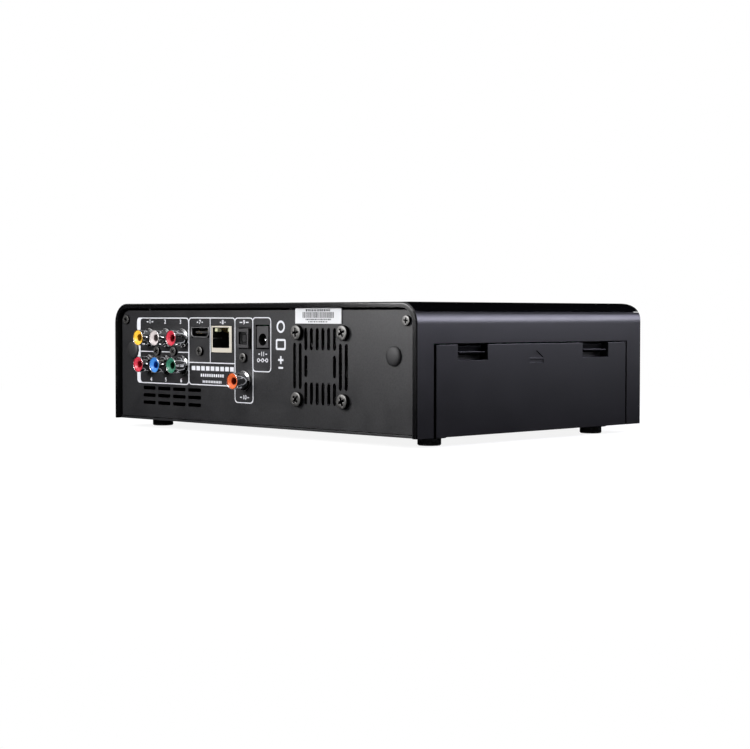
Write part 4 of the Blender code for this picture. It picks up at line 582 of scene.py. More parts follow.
def soften(obj, width):
    """Rounds a piece's sharp edges and shades the rest smooth."""
    if width:
        bevel = obj.modifiers.new("soft_edges", "BEVEL")
        bevel.width = width
        bevel.segments = EDGE_SEGMENTS
        bevel.limit_method = "ANGLE"
        bevel.angle_limit = SHARP_ANGLE
        bevel.use_clamp_overlap = True
    smooth = obj.modifiers.new("smooth", "NODES")
    smooth.node_group = SMOOTH
    even = obj.modifiers.new("even_normals", "WEIGHTED_NORMAL")
    even.keep_sharp = True
    even.weight = NORMAL_WEIGHT


def dress(node, width, material=None):
    """Gives a solid its finish and soft edges."""
    obj = NODES[node]
    for slot in obj.material_slots:
        slot.material = SURFACES[material or SLOT_OF[node]]
    weld = obj.modifiers.new("weld", "WELD")
    weld.merge_threshold = WELD_DISTANCE
    flat = obj.modifiers.new("flat", "DECIMATE")
    flat.decimate_type = "DISSOLVE"
    flat.angle_limit = FLAT_ANGLE
    if node == "hood":
        round_rear_edge(obj)
    soften(obj, width)


def add_piece(
    name, mesh, finish, body="case", matrix=Matrix.Identity(4), width=0, replaces=(), inner=None
):
    """A new piece on a body, with a second finish if asked. It may stand for solids that are then hidden."""
    finishes = [finish] if inner is None else [finish, inner]
    while len(mesh.materials) < len(finishes):
        mesh.materials.append(None)
    for index, each in enumerate(finishes):
        mesh.materials[index] = SURFACES[each]
    obj = link_object(name, mesh)
    obj.matrix_world = matrix
    soften(obj, width)
    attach(obj, body)
    if replaces:
        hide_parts(*replaces)


def to_mesh(name, shape):
    bmesh.ops.recalc_face_normals(shape, faces=shape.faces)
    mesh = bpy.data.meshes.new(name)
    shape.to_mesh(mesh)
    shape.free()
    return mesh


def blocks(name, corners):
    """One mesh of boxes, each given by its low and its high corner."""
    shape = bmesh.new()
    for low, high in corners:
        size = [b - a for a, b in zip(low, high)]
        centre = [(a + b) / 2 for a, b in zip(low, high)]
        matrix = Matrix.Translation(centre) @ Matrix.Diagonal((*size, 1))
        bmesh.ops.create_cube(shape, size=1, matrix=matrix)
    return to_mesh(name, shape)


def arc(centre, radius, start, end, steps):
    """Points of an arc between two angles in degrees, both ends included."""
    points = []
    for step in range(steps + 1):
        angle = math.radians(start + (end - start) * step / steps)
        points.append((centre[0] + radius * math.cos(angle), centre[1] + radius * math.sin(angle)))
    return points


def round_box(low, high, radius, steps=5):
    """Rectangle with round corners between its lower left and its upper right corner."""
    left, bottom = (value + radius for value in low)
    right, top = (value - radius for value in high)
    points = []
    for turn, centre in enumerate(((right, top), (left, top), (left, bottom), (right, bottom))):
        points += arc(centre, radius, turn * 90, turn * 90 + 90, steps)
    return points


ROUND_SIDES = 56


def lathe(name, points, sides=ROUND_SIDES, closed=False):
    """Turns a line of (radius, height) points about Z."""
    shape = bmesh.new()
    verts = [shape.verts.new((radius, 0, height)) for radius, height in points]
    pairs = list(zip(verts, verts[1:]))
    if closed:
        pairs.append((verts[-1], verts[0]))
    edges = [shape.edges.new(pair) for pair in pairs]
    bmesh.ops.spin(
        shape, geom=verts + edges, cent=(0, 0, 0), axis=(0, 0, 1), angle=2 * math.pi, steps=sides
    )
    bmesh.ops.remove_doubles(shape, verts=shape.verts, dist=WELD_DISTANCE)
    return to_mesh(name, shape)


def flat_shape(name, loops, thickness):
    """A flat outline with its holes, its middle at height zero."""
    curve = bpy.data.curves.new(name, "CURVE")
    curve.dimensions = "2D"
    curve.fill_mode = "BOTH"
    curve.extrude = thickness / 2
    for loop in loops:
        spline = curve.splines.new("POLY")
        spline.points.add(len(loop) - 1)
        for point, (x, y) in zip(spline.points, loop):
            point.co = (x, y, 0, 1)
        spline.use_cyclic_u = True
    mesh = final_mesh(link_object(name, curve))
    shape = bmesh.new()
    shape.from_mesh(mesh)
    bmesh.ops.remove_doubles(shape, verts=shape.verts, dist=WELD_DISTANCE)
    shape.to_mesh(mesh)
    shape.free()
    return mesh


def carve(name, mesh, tools, operation="DIFFERENCE"):
    """The mesh after a Boolean with each tool mesh."""
    body = link_object(name, mesh)
    helpers = [link_object(name + "_tool", tool) for tool in tools]
    for helper in helpers:
        modifier = body.modifiers.new("carve", "BOOLEAN")
        modifier.operation = operation
        modifier.object = helper
        modifier.solver = "EXACT"
    return final_mesh(body, *helpers)


# Printing on the rear panel
INK_THICKNESS = 0.00004
INK_STEP = 0.00001
LINE_WIDTH = 0.00048
LINE_CORNER = 0.0021
END_STEPS = 2


def on_panel(x, z, lift):
    """Lays a flat drawing on the rear panel so that it reads from behind."""
    turn = Matrix.Rotation(math.radians(180), 4, "Z") @ Matrix.Rotation(math.radians(90), 4, "X")
    return Matrix.Translation((x, FACE_Y + lift + INK_THICKNESS / 2, z + SHELL_Z)) @ turn


def print_shape(name, loops, x=0, z=0, layer=0):
    """White ink on the panel. Layers keep drawings that cross each other apart."""
    mesh = flat_shape(name, loops, INK_THICKNESS)
    add_piece(name, mesh, "white_ink", matrix=on_panel(x, z, layer * INK_STEP))


def print_bar(name, low, high, radius, x=0, z=0, layer=0):
    print_shape(name, [round_box(low, high, radius, END_STEPS)], x, z, layer)


def print_rule(name, left, right, z, layer):
    """A thin level line."""
    half = LINE_WIDTH / 2
    print_bar(name, (left, z - half), (right, z + half), half / 4, layer=layer)


def framed(left, right, bottom, top, bar=0.0):
    """Outer and inner loop of a printed frame, with a thick bar at its +X side if asked."""
    width = LINE_WIDTH
    outer = round_box((-left, bottom), (-right, top), LINE_CORNER)
    inner = round_box(
        (-left + max(width, bar), bottom + width), (-right - width, top - width), LINE_CORNER - width / 2
    )
    return [outer, inner]


# Frames and rules in metres: X of the +X side, X of the -X side, lower Z, upper Z, bar
FRAME_RCA = (0.0963, 0.05206, 0.01925, 0.0539, 0.0030)
FRAME_DIGITAL = (0.0522, 0.01483, 0.0195, 0.0540, 0.0)
FRAME_AUDIO = (0.0154, 0.00108, 0.0115, 0.0540, 0.0)
FRAME_POWER = (0.0017, -0.01235, 0.0273, 0.0542, 0.0)
RULE_RCA_Z = 0.03604
RULE_DIGITAL_Z = 0.0310
DIVIDER_X = 0.0346
SCREW_CLEARANCE = 0.0033
# Short lines between a socket and its frame: name, sleeve, height over its middle
LINKS = (("upper", "rca_sleeve_right_audio", 0.0014), ("lower", "rca_sleeve_component_green", 0.0011))


def make_frames():
    for layer, (name, values) in enumerate((
        ("rca", FRAME_RCA), ("digital", FRAME_DIGITAL), ("audio", FRAME_AUDIO), ("power", FRAME_POWER)
    )):
        print_shape("printed_frame_" + name, framed(*values), layer=layer)
    half = LINE_WIDTH / 2
    stops = [FRAME_RCA[0] - FRAME_RCA[4]]
    for node in ("socket_screw_rca_outer", "socket_screw_rca_inner"):
        stops += [middle(node).x + SCREW_CLEARANCE, middle(node).x - SCREW_CLEARANCE]
    stops.append(FRAME_RCA[1] + half)
    for index, (start, end) in enumerate(zip(stops[::2], stops[1::2])):
        print_rule(f"printed_rule_rca_{index}", -start, -end, RULE_RCA_Z, 5)
    left, right = -FRAME_DIGITAL[0] + half, -FRAME_DIGITAL[1] - half
    print_rule("printed_rule_digital", left, right, RULE_DIGITAL_Z, 6)
    low, high = (-DIVIDER_X - half, RULE_DIGITAL_Z), (-DIVIDER_X + half, FRAME_DIGITAL[3] - half)
    print_bar("printed_divider", low, high, half / 4, layer=7)
    for name, sleeve, rise in LINKS:
        centre = middle(sleeve)
        height = centre.z - SHELL_Z + rise
        print_rule("printed_link_" + name, -centre.x, -FRAME_RCA[1] - half, height, 8)


# Plain numbers by the sockets: number, X, Z, length of the dashes beside it
NUMBER_SIZE = 0.0030
NUMBER_BOLDNESS = NUMBER_SIZE / 45
DASH_GAP = 0.0014
DASH_HEIGHT = 0.00055
EXTRA_DIGIT = 0.45
NUMBERS = (
    ("1", 0.0850, 0.0517, 0.0014), ("2", 0.0720, 0.0517, 0), ("3", 0.0590, 0.0517, 0),
    ("4", 0.0840, 0.0214, 0), ("5", 0.0715, 0.0214, 0), ("6", 0.0585, 0.0214, 0),
    ("7", 0.0430, 0.0516, 0.0010), ("8", 0.0247, 0.0516, 0.0008), ("9", 0.0081, 0.0516, 0.0020),
    ("10", 0.0078, 0.0144, 0.0014), ("11", -0.0060, 0.0361, 0.0012),
)


def make_numbers():
    for text, x, z, dash in NUMBERS:
        font = bpy.data.curves.new("number_" + text, "FONT")
        font.body = text
        font.size = NUMBER_SIZE
        font.align_x = "CENTER"
        font.align_y = "CENTER"
        font.extrude = INK_THICKNESS / 2
        font.offset = NUMBER_BOLDNESS
        font.materials.append(SURFACES["white_ink"])
        obj = link_object("number_" + text, font)
        obj.matrix_world = on_panel(x, z, 0)
        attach(obj, "case")
        if not dash:
            continue
        start = DASH_GAP * (1 + EXTRA_DIGIT * (len(text) - 1))
        for side in (-1, 1):
            near, far = sorted((side * start, side * (start + dash)))
            low, high = (near, -DASH_HEIGHT / 2), (far, DASH_HEIGHT / 2)
            word = "left" if side < 0 else "right"
            print_bar(f"number_dash_{text}_{word}", low, high, DASH_HEIGHT / 5, x, z)


# Rows of plain blocks where the photograph has lines of words: name, middle X, Z, length, height,
# number of blocks, gap's share of the pitch
BLOCK_ROWS = (
    ("bold", 0.0329, 0.0281, 0.0345, 0.0022, 9, 0.26),
    ("middle", 0.0332, 0.0246, 0.0190, 0.0015, 11, 0.38),
    ("small", 0.0333, 0.0214, 0.0155, 0.0012, 12, 0.40),
)


def make_block_rows():
    for name, x, z, length, height, count, gap in BLOCK_ROWS:
        pitch = length / count
        corners = []
        for index in range(count):
            left = x - length / 2 + index * pitch + pitch * gap / 2
            corners.append((
                (left, FACE_Y, z + SHELL_Z - height / 2),
                (left + pitch * (1 - gap), FACE_Y + INK_THICKNESS, z + SHELL_Z + height / 2),
            ))
        title = "printed_row_" + name
        add_piece(title, blocks(title, corners), "white_ink")


# Plain marks beside the power inlet
MARKS_X = -0.0194
RING_Z, SQUARE_Z, PLUS_Z, BAR_Z = 0.0496, 0.0410, 0.0335, 0.0297
MARK_RADIUS = 0.0030
MARK_LINE = 0.0010
SQUARE_HALF = (0.0036, 0.0027)
PLUS_ARM = 0.0019
BAR_HALF = (0.0017, 0.00045)
BAR_CORNER = 0.0002
# Three small rings joined by two links under the power inlet
SIGN_Z = 0.0331
SIGN_PITCH = 0.0031
SIGN_RADIUS = 0.0010
SIGN_HOLE = 0.55
LINK_HALF = (0.00065, 0.0002)
LINK_CORNER = 0.00008


def ring_loops(outer, inner, steps):
    return [arc((0, 0), radius, 0, 360, steps)[:-1] for radius in (outer, inner)]


def make_marks():
    print_shape("mark_ring", ring_loops(MARK_RADIUS, MARK_RADIUS - MARK_LINE, 32), MARKS_X, RING_Z)
    wide, tall = SQUARE_HALF
    square = [
        round_box((-wide, -tall), (wide, tall), MARK_LINE),
        round_box((MARK_LINE - wide, MARK_LINE - tall), (wide - MARK_LINE, tall - MARK_LINE), MARK_LINE / 2),
    ]
    print_shape("mark_square", square, MARKS_X, SQUARE_Z)
    half, arm = MARK_LINE / 2, PLUS_ARM
    plus = [
        (arm, -half), (arm, half), (half, half), (half, arm), (-half, arm), (-half, half),
        (-arm, half), (-arm, -half), (-half, -half), (-half, -arm), (half, -arm), (half, -half),
    ]
    print_shape("mark_plus", [plus], MARKS_X, PLUS_Z)
    wide, tall = BAR_HALF
    print_bar("mark_bar", (-wide, -tall), (wide, tall), BAR_CORNER, MARKS_X, BAR_Z)
    x = middle("dc_inlet").x
    for index, step in enumerate((-1, 0, 1)):
        loops = ring_loops(SIGN_RADIUS, SIGN_RADIUS * SIGN_HOLE, 20)
        print_shape(f"plug_sign_ring_{index}", loops, x + step * SIGN_PITCH, SIGN_Z)
    wide, tall = LINK_HALF
    for index, step in enumerate((-0.5, 0.5)):
        place = x + step * SIGN_PITCH
        print_bar(f"plug_sign_link_{index}", (-wide, -tall), (wide, tall), LINK_CORNER, place, SIGN_Z)


# Bars printed on the white label: name, place as a share of the label's height, height, dash and gap
# in metres, length as a share of the label's
LABEL_SEED = 4
DASH_SPREAD = (0.6, 1.4)
GAP_SPREAD = (0.7, 1.4)
LABEL_ROWS = (
    ("upper", 0.86, 0.0010, 0.0009, 0.0004, 0.52),
    ("bars", 0.56, 0.0028, 0.00045, 0.00035, 0.68),
    ("note", 0.27, 0.0007, 0.0008, 0.0004, 0.56),
    ("foot", 0.12, 0.0006, 0.0008, 0.0004, 0.40),
)


def make_label():
    low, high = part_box("rear_label")
    chance = random.Random(LABEL_SEED)
    dress("rear_label", 0)
    for name, up, height, dash, gap, share in LABEL_ROWS:
        z = low.z + (high.z - low.z) * up
        length = (high.x - low.x) * share
        x = (low.x + high.x - length) / 2
        end = x + length
        corners = []
        while x < end:
            width = dash * chance.uniform(*DASH_SPREAD)
            top = (x + width, high.y + INK_THICKNESS, z + height / 2)
            corners.append(((x, high.y, z - height / 2), top))
            x += width + gap * chance.uniform(*GAP_SPREAD)
        title = "label_row_" + name
        add_piece(title, blocks(title, corners), "grey_ink")


# Screw heads: cross and crown as shares of the head's radius or height
CROSS_REACH = 0.66
CROSS_ROOT = 0.165
CROSS_FLOOR = 0.55
CROSS_DEPTH = 0.72
CROSS_MOUTH = 1.25
CROWN_FLAT = 0.55
CROWN_RISE = 0.95
CROWN_ROUND = 0.14
# How steep a face of the head must be to take the painted shade of the sides
SIDE_LIMIT = 0.6


def cross_tool(name, radius, top, depth):
    """A cross with tapered walls, which cuts the recess of a screw head."""
    shape = bmesh.new()
    rings = []
    for height, scale in ((top + depth, CROSS_MOUTH), (top - depth, CROSS_FLOOR)):
        ring = []
        for quarter in range(4):
            turn = Matrix.Rotation(math.pi / 2 * quarter, 4, "Z")
            reach, root = radius * CROSS_REACH * scale, radius * CROSS_ROOT * scale
            for x, y in ((reach, -root), (reach, root), (root, root)):
                ring.append(shape.verts.new(turn @ Vector((x, y, height))))
        rings.append(ring)
    upper, lower = rings
    shape.faces.new(upper)
    shape.faces.new(list(reversed(lower)))
    for index, corner in enumerate(upper):
        following = (index + 1) % len(upper)
        shape.faces.new((upper[following], corner, lower[index], lower[following]))
    return to_mesh(name, shape)


def screw_mesh(name, radius, height, shank_length):
    """Low-crowned head with a cross recess, on a shank. The recess and the steep sides take a second finish,
    black painted shade.
    """
    edge = radius * CROWN_ROUND
    points = [(0, height), (radius * CROWN_FLAT, height * CROWN_RISE)]
    points += arc((radius * (1 - CROWN_ROUND), height * CROWN_RISE - edge), edge, 80, 0, 5)
    points += [(radius, 0), (SHANK_RADIUS, 0), (SHANK_RADIUS, -shank_length), (0, -shank_length)]
    body = lathe(name, points)
    tool = cross_tool(name + "_cross", radius, height, height * CROSS_DEPTH)
    for mesh in (body, tool):
        for _ in range(2):
            mesh.materials.append(None)
    # The recess and the head's steep sides take the second finish, a painted shade
    for face in tool.polygons:
        face.material_index = 1
    for face in body.polygons:
        face.material_index = int(abs(face.normal.z) < SIDE_LIMIT)
    return carve(name, body, [tool])


HEAD_GAP = 0.0001
HEAD_EDGE = 0.00008
SHANK_RADIUS = 0.0014


def make_screws():
    for node in [name for name in NODES if "_screw_" in name]:
        low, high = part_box(node)
        base = FACE_Y + HEAD_GAP
        mesh = screw_mesh(node + "_head", (high.x - low.x) / 2, high.y - base, base - low.y)
        twist = Matrix.Rotation(random.Random(node).uniform(0, math.pi / 2), 4, "Z")
        matrix = facing_rear(node, base) @ twist
        # Painted shade: the cross recess and the sides of the head are black
        add_piece(
            node + "_head", mesh, "screw_steel", matrix=matrix, width=HEAD_EDGE, replaces=[node],
            inner="painted_shade_black",
        )


# Domed plugs: height of the rim, bluntness of the dome, stem as a share of the radius
PLUG_RIM = 0.00035
PLUG_BLUNT = 0.6
PLUG_STEM = 0.58


def make_plugs():
    for node in ("hole_plug_tray_side", "hole_plug_socket_side"):
        low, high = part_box(node)
        radius, height = (high.x - low.x) / 2, high.y - FACE_Y
        rise = height - PLUG_RIM
        points = []
        for degrees in range(0, 91, 9):
            angle = math.radians(degrees)
            points.append((radius * math.sin(angle), PLUG_RIM + rise * math.cos(angle) ** PLUG_BLUNT))
        stem = radius * PLUG_STEM
        points += [(radius, 0), (stem, 0), (stem, low.y - FACE_Y), (0, low.y - FACE_Y)]
        add_piece(
            node + "_dome", lathe(node, points), "plug_plastic", matrix=facing_rear(node, FACE_Y),
            replaces=[node],
        )


# RCA sockets: the colour of each insulator
SLEEVES = {
    "rca_sleeve_video": "yellow",
    "rca_sleeve_left_audio": "white",
    "rca_sleeve_right_audio": "red",
    "rca_sleeve_component_red": "red",
    "rca_sleeve_component_blue": "blue",
    "rca_sleeve_component_green": "green",
    "coax_sleeve": "orange",
}
COLLAR_RADIUS = 0.005
BARREL_RADIUS = 0.00415
BARREL_BORE = 0.00390
COLLAR_ROUND = 0.00062
COLLAR_RISE = 0.0004
MOUTH_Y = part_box("rca_shield")[1].y
SHIELD_BACK_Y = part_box("rca_shield")[0].y
NECK_INSET = 0.0001
NECK_END = 0.0018
SHOULDER_END = 0.0020
BARREL_EDGE = 0.00006
# Insulator
SLEEVE_GAP = 0.00002
SLEEVE_INSET = 0.0003
SLEEVE_CHAMFER = 0.0002
RIM_INNER = 0.0030
BORE = 0.0019
FUNNEL_LIP = 0.0001
FUNNEL_DEPTH = 0.0010
SLEEVE_FLOOR = 0.0010
SLEEVE_HOLE = 0.0012
# Black tube of painted shade, and the contact inside it
LINER_DEPTH = 0.0034
LINER_BORE = 0.0015
LINER_MOUTH = 0.0017
LINER_FLOOR = 0.0011
CONTACT_OUTER, CONTACT_INNER = 0.0014, 0.0009
CONTACT_WAIST, CONTACT_END = 0.0030, 0.0042
CONTACT_TIP_OUTER, CONTACT_TIP_INNER = 0.0012, 0.0010
PLATE_SINK = 0.0013
HOLE_REACH = (-0.001, 0.003)


def barrel_mesh(name):
    """Barrel with a rounded collar, a neck and a rolled mouth, its root at height zero."""
    root = SHIELD_BACK_Y
    face = FACE_Y - root
    mouth = MOUTH_Y - root
    bead = (BARREL_RADIUS + BARREL_BORE) / 2
    rim = (BARREL_RADIUS - BARREL_BORE) / 2
    neck = BARREL_RADIUS - NECK_INSET
    points = [(BARREL_BORE, 0), (COLLAR_RADIUS, 0)]
    points += arc((COLLAR_RADIUS - COLLAR_ROUND, face + COLLAR_RISE), COLLAR_ROUND, 0, 150, 7)
    points += [(neck, face + COLLAR_RISE), (neck, face + NECK_END), (BARREL_RADIUS, face + SHOULDER_END)]
    points += arc((bead, mouth - rim), rim, 0, 180, 6)
    return lathe(name, points, closed=True)


def sleeve_mesh(name, low_y):
    """Insulator with a bore. Its rim and funnel take the paler copy of its colour as painted highlight, the
    bore deeper in the darker copy as painted shade.
    """
    outer, front = BARREL_BORE - SLEEVE_GAP, MOUTH_Y - low_y - SLEEVE_INSET
    points = [
        (outer, 0), (outer, front - SLEEVE_CHAMFER), (outer - SLEEVE_CHAMFER, front),
        (RIM_INNER + SLEEVE_CHAMFER, front), (RIM_INNER, front - FUNNEL_LIP), (BORE, front - FUNNEL_DEPTH),
        (BORE, SLEEVE_FLOOR), (SLEEVE_HOLE, SLEEVE_FLOOR - SLEEVE_CHAMFER), (SLEEVE_HOLE, 0),
    ]
    mesh = lathe(name, points, closed=True)
    # Painted highlight on the front and funnel, painted shade deeper in
    for face in mesh.polygons:
        face.material_index = int(face.center.z > front - FUNNEL_DEPTH)
    return mesh


def painted_shade_liner_mesh(name, low_y):
    """Tube of painted shade inside the insulator, round the contact: black, where the bore is in shade."""
    end = MOUTH_Y - low_y - LINER_DEPTH
    outer = BORE - SLEEVE_GAP
    points = [
        (LINER_BORE, LINER_FLOOR), (outer, LINER_FLOOR), (outer, end), (LINER_MOUTH, end),
        (LINER_BORE, end - (LINER_MOUTH - LINER_BORE)),
    ]
    return lathe(name, points, sides=36, closed=True)


def contact_mesh(name):
    """Springy tube that grips the plug's pin."""
    points = [
        (CONTACT_INNER, 0), (CONTACT_OUTER, 0), (CONTACT_OUTER, CONTACT_WAIST),
        (CONTACT_TIP_OUTER, CONTACT_END), (CONTACT_TIP_INNER, CONTACT_END),
        (CONTACT_TIP_INNER, CONTACT_WAIST),
    ]
    return lathe(name, points, sides=24, closed=True)


def make_rca():
    low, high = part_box("rca_shield")
    plate = blocks("rca_plate", [(low, (high.x, FACE_Y - PLATE_SINK, high.z))])
    holes = []
    for sleeve, colour in SLEEVES.items():
        title = sleeve.replace("sleeve", "barrel")
        place = facing_rear(sleeve, SHIELD_BACK_Y)
        if sleeve == "coax_sleeve":
            stands_for = ["coax_barrel"]
            title = "coax_turned_barrel"
        else:
            stands_for = [] if holes else ["rca_shield"]
            below, above = HOLE_REACH
            profile = [(0, below), (COLLAR_RADIUS, below), (COLLAR_RADIUS, above), (0, above)]
            tool = lathe(title + "_hole", profile)
            tool.transform(place)
            holes.append(tool)
        add_piece(
            title, barrel_mesh(title), "plated_metal", matrix=place, width=BARREL_EDGE,
            replaces=stands_for,
        )
        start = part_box(sleeve)[0].y
        place = facing_rear(sleeve, start)
        # Insulator in two copies of its colour: painted highlight at the front, painted shade in the bore
        add_piece(
            sleeve + "_insulator", sleeve_mesh(sleeve, start), colour + "_plastic", matrix=place,
            replaces=[sleeve], inner=colour + "_rim",
        )
        # Painted shade: a black tube darkens the bore
        add_piece(
            sleeve.replace("sleeve", "liner"), painted_shade_liner_mesh(sleeve, start), "painted_shade_black", matrix=place,
        )
        add_piece(
            sleeve.replace("sleeve", "contact"), contact_mesh(sleeve), "gold_contact", matrix=place,
        )
    add_piece("rca_plate", carve("rca_plate", plate, holes), "plated_metal")


def wire(name, points, radius, finish):
    """A bent round wire."""
    curve = bpy.data.curves.new(name, "CURVE")
    curve.dimensions = "3D"
    curve.bevel_depth = radius
    curve.bevel_resolution = 2
    curve.use_fill_caps = True
    spline = curve.splines.new("POLY")
    spline.points.add(len(points) - 1)
    for point, place in zip(spline.points, points):
        point.co = (*place, 1)
    curve.materials.append(SURFACES[finish])
    obj = link_object(name, curve)
    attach(obj, "case")


# Network socket: paths of its wires as depth behind the front and drop under the mouth's top
LAN_MOUTH_BOTTOM = 0.0023
LAN_MOUTH_HEIGHT = 0.0103
LAN_MOUTH_SIDES = (-0.0060, 0.0070)
CONTACT_COUNT = 8
CONTACT_PITCH = 0.00102
CONTACT_RADIUS = 0.00016
CONTACT_PATH = ((0.0018, -0.0001), (0.0024, 0.0007), (0.0075, 0.0034), (0.0120, 0.0046))
LENS_INSET = 0.0013
LENS_HALF = 0.0010
LENS_DEPTHS = (0.0040, 0.0012)
LENS_DROPS = (0.0021, 0.0003)
LENS_EDGE = 0.0002
LAN_SPRING_RADIUS = 0.0004
LAN_SPRING_DROP = 0.0056
LAN_SPRING_PATH = ((-0.0001, 0.0004), (0.0004, 0.0020), (0, 0.0060))


def make_lan():
    low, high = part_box("lan_shield")
    centre = (low.x + high.x) / 2
    top = low.z + LAN_MOUTH_BOTTOM + LAN_MOUTH_HEIGHT
    front = high.y
    for index in range(CONTACT_COUNT):
        x = centre + (index - (CONTACT_COUNT - 1) / 2) * CONTACT_PITCH
        points = [(x, front - depth, top - drop) for depth, drop in CONTACT_PATH]
        wire(f"lan_contact_{index}", points, CONTACT_RADIUS, "gold_contact")
    walls = tuple(zip((-1, 1), LAN_MOUTH_SIDES))
    for name, (side, edge) in zip("ab", walls):
        x = centre + edge - side * LENS_INSET
        corners = [
            (x + way * LENS_HALF, front - depth, top - drop)
            for way, depth, drop in zip((-1, 1), LENS_DEPTHS, LENS_DROPS)
        ]
        lens = blocks("lan_lens_" + name, [corners])
        add_piece("lan_lens_" + name, lens, "pale_lens", width=LENS_EDGE)
    for name, (side, edge) in zip(("left", "right"), walls):
        x = centre + edge
        z = top - LAN_SPRING_DROP
        points = [(x - side * inset, front - depth, z) for inset, depth in LAN_SPRING_PATH]
        wire("lan_spring_" + name, points, LAN_SPRING_RADIUS, "stamped_steel")


# HDMI type socket
HDMI_COLUMNS = 10
HDMI_PITCH = 0.0010
HDMI_ROW_HEIGHT = 0.00055
HDMI_CONTACT_HALF = (0.0002, 0.00006)
HDMI_CONTACT_DEPTHS = (0.006, 0.0003)
HDMI_SPRING_X = 0.0032
HDMI_SPRING_RADIUS = 0.00025
HDMI_SPRING_PATH = ((0.0022, 0.0006), (0.0040, 0.0011), (0.0060, 0.0006))


def make_hdmi():
    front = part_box("hdmi_tongue")[1].y
    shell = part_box("hdmi_shell")[1]
    centre = middle("hdmi_shell")
    wide, tall = HDMI_CONTACT_HALF
    back, tip = (front - depth for depth in HDMI_CONTACT_DEPTHS)
    corners = []
    for index in range(HDMI_COLUMNS):
        x = centre.x + (index - (HDMI_COLUMNS - 1) / 2) * HDMI_PITCH
        for up in (-1, 1):
            z = centre.z + up * HDMI_ROW_HEIGHT
            corners.append(((x - wide, back, z - tall), (x + wide, tip, z + tall)))
    mesh = blocks("hdmi_contacts", corners)
    add_piece("hdmi_contacts", mesh, "gold_contact")
    for name, side in (("left", -1), ("right", 1)):
        x = centre.x + side * HDMI_SPRING_X
        points = [(x, shell.y - depth, shell.z - drop) for depth, drop in HDMI_SPRING_PATH]
        wire("hdmi_spring_" + name, points, HDMI_SPRING_RADIUS, "stamped_steel")


# Optical socket's shutter, with a raised border and panel. Shares of its half size or thickness.
BORDER_OUTER = 0.98
BORDER_INNER = 0.84
BORDER_ROUNDS = (0.0003, 0.0002)
RAISED_HALF = (0.5, 0.62)
RELIEF_HEIGHT = 0.8
RELIEF_TOP = 0.55
RELIEF_STEPS = 3
SHUTTER_EDGE = 0.00006


def make_shutter():
    low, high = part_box("optical_shutter")
    size = (high.x - low.x) / 2
    sheet = (high.y - low.y) / 2
    plate = blocks("shutter", [((-size, -sheet, -size), (size, sheet / 3, size))])
    outer = size * BORDER_OUTER
    inner = outer * BORDER_INNER
    large, small = BORDER_ROUNDS
    wide, tall = size * RAISED_HALF[0], size * RAISED_HALF[1]
    frame_loops = [
        round_box((-outer, -outer), (outer, outer), large, RELIEF_STEPS),
        round_box((-inner, -inner), (inner, inner), small, RELIEF_STEPS),
    ]
    panel_loops = [round_box((-wide, -tall), (wide, tall), large, RELIEF_STEPS)]
    border = flat_shape("shutter_border", frame_loops, sheet * RELIEF_HEIGHT)
    raised = flat_shape("shutter_middle", panel_loops, sheet * RELIEF_HEIGHT)
    turn = Matrix.Translation((0, sheet * RELIEF_TOP, 0)) @ Matrix.Rotation(math.radians(90), 4, "X")
    border.transform(turn)
    raised.transform(turn)
    mesh = carve("shutter_flap", plate, [border, raised], "UNION")
    matrix = Matrix.Translation(middle("optical_shutter"))
    add_piece(
        "shutter_flap", mesh, "black_plastic", body="optical_shutter", matrix=matrix, width=SHUTTER_EDGE,
        replaces=["optical_shutter"],
    )


# Power inlet's pin
PIN_RADIUS = 0.00104
PIN_LENGTH = 0.0085
PIN_DROP = 0.0017
PIN_RECESS = 0.0015


def make_dc_pin():
    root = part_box("dc_inlet")[1].y - PIN_RECESS - PIN_LENGTH
    points = arc((0, PIN_LENGTH - PIN_RADIUS), PIN_RADIUS, 90, 0, 6) + [(PIN_RADIUS, 0), (0, 0)]
    points[0] = (0, PIN_LENGTH)
    matrix = facing_rear("dc_inlet", root, PIN_DROP)
    add_piece("dc_pin", lathe("dc_pin", points, sides=24), "plated_metal", matrix=matrix)


# Feet
FOOT_RADIUS = 0.0055
FOOT_ROUND = 0.0005
FOOT_DISH = 0.0006
DISH_SHARES = (0.55, 0.62)
FLANGE_DROPS = (0.0013, 0.0010, 0.0007, 0.0003)
FLANGE_ROUND = 0.0003
FOOT_STEM = 0.002


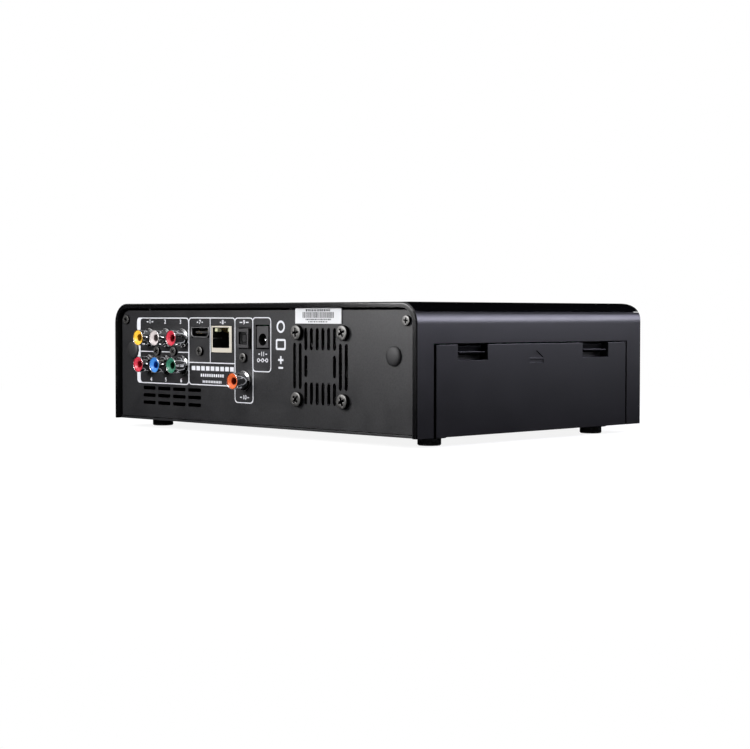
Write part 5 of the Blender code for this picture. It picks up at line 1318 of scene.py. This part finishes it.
def make_feet():
    for node in [name for name in NODES if name.startswith("foot_")]:
        low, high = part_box(node)
        centre = middle(node)
        foot, flange = FOOT_RADIUS, (high.x - low.x) / 2
        root, under, shoulder, top = (SHELL_Z - drop for drop in FLANGE_DROPS)
        points = [
            (0, FOOT_DISH), (foot * DISH_SHARES[0], FOOT_DISH), (foot * DISH_SHARES[1], 0),
            (foot - FOOT_ROUND, 0), (foot, FOOT_ROUND), (foot, root), (foot + FLANGE_ROUND, under),
            (flange - FLANGE_ROUND, under), (flange, shoulder), (flange, top), (FOOT_STEM, top),
            (FOOT_STEM, high.z), (0, high.z),
        ]
        matrix = Matrix.Translation((centre.x, centre.y, 0))
        add_piece(node + "_pad", lathe(node, points), "foot_rubber", matrix=matrix, replaces=[node])


# Soft edge of each solid that keeps its own shape, in mm
EDGE_WIDTHS = {
    "hood": 0.30, "top_cover": 0.14, "base_plate": 0.12, "rear_panel": 0.09, "front_fascia": 0.20,
    "ir_window": 0.15, "rca_block": 0.2, "digital_audio_block": 0.14, "hdmi_shell": 0.06,
    "hdmi_tongue": 0.06, "lan_shield": 0.12, "lan_insert": 0.08, "dc_inlet": 0.12, "fan_frame": 0.15,
    "fan_rotor": 0.08, "fan_cable": 0, "main_board": 0.05, "processor": 0.12, "heat_sink": 0.08,
    "drive_backplane": 0.05, "guide_rail_front": 0.15, "guide_rail_rear": 0.15, "front_board": 0.05,
    "usb_sockets": 0.10, "power_button": 0.15, "tray_front": 0.18, "tray_carrier": 0.15,
    "drive_housing": 0.6, "drive_cover": 0.15, "drive_board": 0.05, "latch_front": 0.22, "latch_rear": 0.22,
}


OWN_FINISH = {
    "dc_inlet": "socket_body", "hdmi_shell": "socket_rim", "tray_front": "tray_plastic_painted_shade",
    "latch_front": "latch_plastic_painted_shade", "latch_rear": "latch_plastic_painted_shade", "digital_audio_block": "socket_body",
}


def dress_solids():
    for node, width in EDGE_WIDTHS.items():
        dress(node, width * MM, OWN_FINISH.get(node))


make_camera()
make_sky()
make_floor()
make_cards()
make_lights()
dress_solids()
make_frames()
make_numbers()
make_block_rows()
make_marks()
make_label()
make_screws()
make_plugs()
make_rca()
make_lan()
make_hdmi()
make_shutter()
make_dc_pin()
make_feet()
bpy.context.scene.view_settings.view_transform = "Standard"
